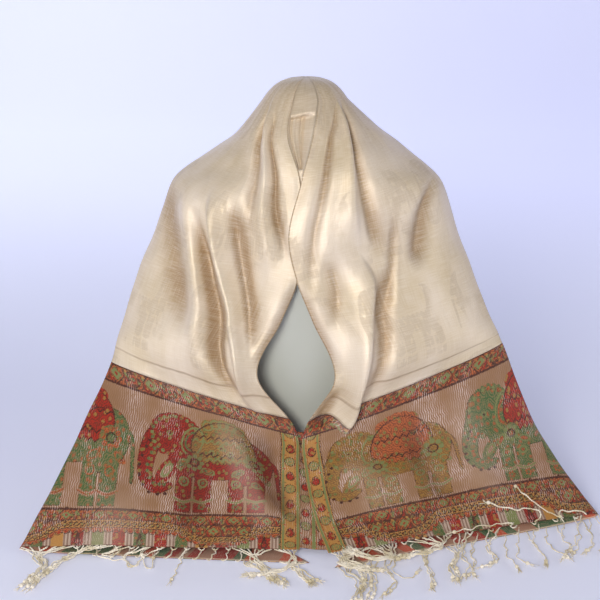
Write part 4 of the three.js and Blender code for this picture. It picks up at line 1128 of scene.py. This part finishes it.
def build_selvedge(material):
    """The margin of the left end that runs on below the edge of the right one."""
    t = np.linspace(*SELVEDGE_SPAN, SELVEDGE_ROWS)
    share = np.linspace(0, 1, SELVEDGE_COLUMNS)
    points = strip_between(t, share, SELVEDGE_LEFT, 1, SELVEDGE_RIGHT)
    points[..., 2] -= SELVEDGE_BELOW + SELVEDGE_SLACK * np.sin(math.pi * share)[None, :]
    points[..., 1] += SELVEDGE_BEHIND
    points[..., 2] = np.maximum(points[..., 2], CLOTH_GAP)
    u = 2 + np.abs(BORDER - 1 - np.linalg.norm(points - points[:, :1], axis=2))
    v = np.broadcast_to(over_hem(t)[:, None] + 9, u.shape)
    yarns = weave_end(u, v, True, LEFT_YARNS)
    yarns["ochre"] = yarns["ribs"] = np.full(u.shape, OUTSIDE)
    return woven("shawl_selvedge", points.reshape(-1, 3), grid_faces(*u.shape), [material], u, v, yarns)


def build_lap(material):
    """The left front where it runs on below the right one."""
    t = np.linspace(*LAP_SPAN, LAP_ROWS)
    points = strip_between(t, np.linspace(0, 1, LAP_COLUMNS), LAP_LEFT, 3, LAP_RIGHT)
    u = 40 + np.linalg.norm(points - points[:, :1], axis=2)
    v = np.broadcast_to(through([row.v for row in LEFT], t)[:, None], u.shape)
    values = dict(figure=np.full(u.shape, OUTSIDE), hollow=np.zeros(u.shape))
    return woven("shawl_lap", points.reshape(-1, 3), grid_faces(*u.shape), [material], u, v, values)


def moving_frame(path):
    """Unit vectors along a path and square to it."""
    along = np.gradient(path, axis=0)
    along /= np.linalg.norm(along, axis=1, keepdims=True).clip(1e-9)
    side = np.cross(along, (0.17, 0.05, 1))
    side /= np.linalg.norm(side, axis=1, keepdims=True).clip(1e-9)
    return along, side, np.cross(along, side)


def strand_path(places, chance):
    """A strand through some places, no longer than a strand is, with small waves."""
    fine = through(places, np.linspace(0, len(places) - 1, 24 * len(places)))
    run = lengths(fine)
    want = np.linspace(0, min(run[-1], STRAND * chance.uniform(0.88, 1)), STRAND_POINTS)
    path = points_at(want, run, fine)
    _, side, _ = moving_frame(path)
    grown = ease(want / 25) * ease((want[-1] - want) / 12)
    for length, high in SIDE_WAVES:
        path += side * (high * grown * np.sin(2 * math.pi * (want / length + chance.uniform())))[:, None]
    length, high = RISING_WAVE
    path[:, 2] += high * grown * np.sin(2 * math.pi * (want / length + chance.uniform()))
    path[1:, 2] = np.maximum(path[1:, 2], ROPE_GAP)
    return path


def build_fringe(name, table, folds, side, layer, bundles, lying, tucked, material):
    """The fringe of one layer of an end: layer 0 is the upper one and 1 the under one."""
    chance = np.random.default_rng(11 + layer + 2 * side)
    t = np.linspace(BAND, HEM, 60)
    q = np.linspace(layer, layer + 1, 241)
    cloth, _ = draped(table, folds, side, t, q)
    strands = Strands()

    def on_hem(share):
        return points_at(share, q, cloth[-1])

    def on_cloth(place, share):
        return points_at(share, q, cloth[np.argmin(np.abs(t - place))]) + (0, -1, 1.8)

    for bundle in bundles:
        if not layer <= bundle.start <= layer + 1 or (layer == 0 and bundle.start == 1):
            continue
        for share in np.linspace(bundle.start, bundle.end, bundle.count):
            apart = chance.uniform(-1, 1, 3) * (bundle.spread, bundle.spread, 1.6)
            grown = np.linspace(0.5, 1, len(bundle.path))[:, None]
            places = np.array(bundle.path, float) + grown * apart + (0, 0, 0.8)
            strands.rope(strand_path([on_hem(share), *places], chance), chance)
    for share, places in lying:
        path = [on_hem(share)] + [on_cloth(place, at) for place, at in places]
        strands.rope(strand_path(path, chance), chance)
    # the others are tucked back in between the layers, and show as small loops along the hem
    for share in np.linspace(*tucked[:2], tucked[2]) + layer:
        root = on_hem(share)
        lift = 3.1 - root[2] if layer else -1.6
        turn = [(1, -3.5, lift * 0.3), (4, -4, lift * 0.7), (7, 3, lift), (9, 30, lift), (10, 70, lift + 1)]
        strands.rope(strand_path([root, *(root + turn)], chance), chance)
    return strands.piece(name, material)


def fringe_yarn():
    """Loose cream yarn, duller at places."""
    f = Finish("fringe_yarn")
    place = f.place()
    tint = f.noise(place, 60.0)
    fine = f.noise(place, 900.0)
    color = f.blend(tint.above(0.55, 0.3), rgb(250, 241, 222), rgb(214, 199, 160))
    return f.finish(color, 0.8, f.bump(fine, 0.4, 0.3), Sheen_Weight=0.3)


def build_form(material):
    """The limbless form, with a flat base."""
    sides, rows = 96, 90
    places = np.linspace(0, len(FORM) - 1, rows)
    height, wide, deep = through(FORM, places).T.clip(0)
    angle = np.arange(sides) / sides * 2 * math.pi
    points = np.stack([np.outer(wide, np.cos(angle)), np.outer(deep, np.sin(angle)),
                       np.repeat(height[:, None], sides, axis=1)], axis=-1).reshape(-1, 3)
    points = np.concatenate([points, [(0, 0, 0), (0, 0, FORM_TOP)]])
    faces = grid_faces(rows, sides, closed=True)
    base, top = rows * sides, rows * sides + 1
    last = (rows - 1) * sides
    faces += [(base, (j + 1) % sides, j) for j in range(sides)]
    faces += [(top, last + j, last + (j + 1) % sides) for j in range(sides)]
    return new_object("display_form", points, faces, [material])


# The room: the camera's tilt, distance and aim, its lens on a 36 mm sensor, and the lamps, each with its
# place, size, power and colour. Metres and watts.
TILT, DISTANCE, AIM, LENS = math.radians(19), 2.0, (-0.0086, 0, 0.25495), 84
LAMPS = dict(key=((-0.5, -2.35, 1.1), 0.6, 33, (1, 0.98, 0.96)),
             left=((-2.3, -1.0, 0.7), 1.0, 9, (1, 0.99, 0.98)),
             right=((2.1, -1.1, 0.8), 1.0, 9, (1, 0.99, 0.98)))
LAMP_AIM = (0, 0, 0.25)


def studio():
    """The camera at the photograph's angle, soft lamps, a pale room and the backdrop."""
    scene = bpy.context.scene
    camera = bpy.data.cameras.new("camera")
    camera.lens, camera.sensor_width = LENS, 36
    eye = bpy.data.objects.new("camera", camera)
    scene.collection.objects.link(eye)
    eye.location = (AIM[0], AIM[1] - DISTANCE * math.cos(TILT), AIM[2] + DISTANCE * math.sin(TILT))
    eye.rotation_euler = (math.pi / 2 - TILT, 0, 0)
    scene.camera = eye
    world = bpy.data.worlds.new("room")
    world.use_nodes = True
    air = world.node_tree.nodes["Background"]
    air.inputs[0].default_value = (0.9, 0.92, 1.0, 1)
    air.inputs[1].default_value = 0.26
    scene.world = world
    scene.view_settings.view_transform = "Standard"
    for name, (place, size, power, tint) in LAMPS.items():
        light = bpy.data.lights.new(name, "AREA")
        light.size, light.energy, light.color = size, power, tint
        lamp = bpy.data.objects.new(name, light)
        lamp.location = place
        away = np.array(place) - LAMP_AIM
        lamp.rotation_euler = (math.atan2(math.hypot(away[0], away[1]), away[2]), 0,
                               math.atan2(away[0], -away[1]))
        scene.collection.objects.link(lamp)
    build_backdrop()


FLOOR_GAP = 0.5  # how far the floor lies under the cloth, in millimetres


def paper():
    """Pale paper that glows as painted light, most on its far part, which is painted dimmer towards the
    right.
    """
    f = Finish("paper")
    place = f.place()
    away = f.part(place, 1)
    color = f.blend(f.noise(place, 1.5), rgb(236, 238, 250), rgb(228, 230, 246))
    # painted shade: the far glow is dimmer towards the right
    aside = f.part(place, 0)
    far = f.blend(aside.above(0.1, 2.4), rgb(176, 180, 202), rgb(146, 148, 178))
    glow = f.blend(away.above(0.9, 1.9), rgb(84, 86, 100), far)
    return f.finish(color, 0.9, Emission_Color=glow, Emission_Strength=1.0)


def build_backdrop():
    """A pale floor that curves up into a wall far behind."""
    half, back, bend, high = 16000, 3200, 900, 5200
    profile = [(-half, 0), (back - bend, 0)]
    profile += [(back - bend + bend * math.sin(a), bend - bend * math.cos(a))
                for a in np.linspace(0, math.pi / 2, 16)[1:]]
    profile.append((back, high))
    points = [(x, y, z - FLOOR_GAP) for y, z in profile for x in (-half, half)]
    faces = [face[::-1] for face in grid_faces(len(profile), 2)]
    return new_object("backdrop", points, faces, [paper()])


cream = cream_cloth()
figured = [figured_cloth(), wrong_side()]
studio()
field = build_field(cream)
end_left = build_end("shawl_end_left", LEFT, LEFT_FOLDS, -1, LEFT_YARNS, figured)
end_right = build_end("shawl_end_right", RIGHT, RIGHT_FOLDS, 1, RIGHT_YARNS, figured)
selvedge = build_selvedge(figured[0])
lap = build_lap(cream)
form = build_form(form_plastic())

loose_yarn = fringe_yarn()
fringes = dict(left=[], right=[])
for side, hand, table, folds, bundles, lying, tucked in (
    ("left", -1, LEFT, LEFT_FOLDS, LEFT_BUNDLES, [], LEFT_TUCKED),
    ("right", 1, RIGHT, RIGHT_FOLDS, RIGHT_BUNDLES, RIGHT_LYING, RIGHT_TUCKED),
):
    for layer, node in enumerate((f"fringe_{side}", f"fringe_under_{side}")):
        piece = build_fringe(f"shawl_{node}", table, folds, hand, layer, bundles,
                             [] if layer else lying, tucked, loose_yarn)
        fringes[side].append(piece)
        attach(piece, "root")
        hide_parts(node)

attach(field, "root")
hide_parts("hood", "front_left", "front_right", "back")
for end, side in ((end_left, "left"), (end_right, "right")):
    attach(end, "root")
    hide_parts(f"end_{side}", f"under_{side}")
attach(selvedge, "root")
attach(lap, "root")
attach(form, "root")
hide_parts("form")
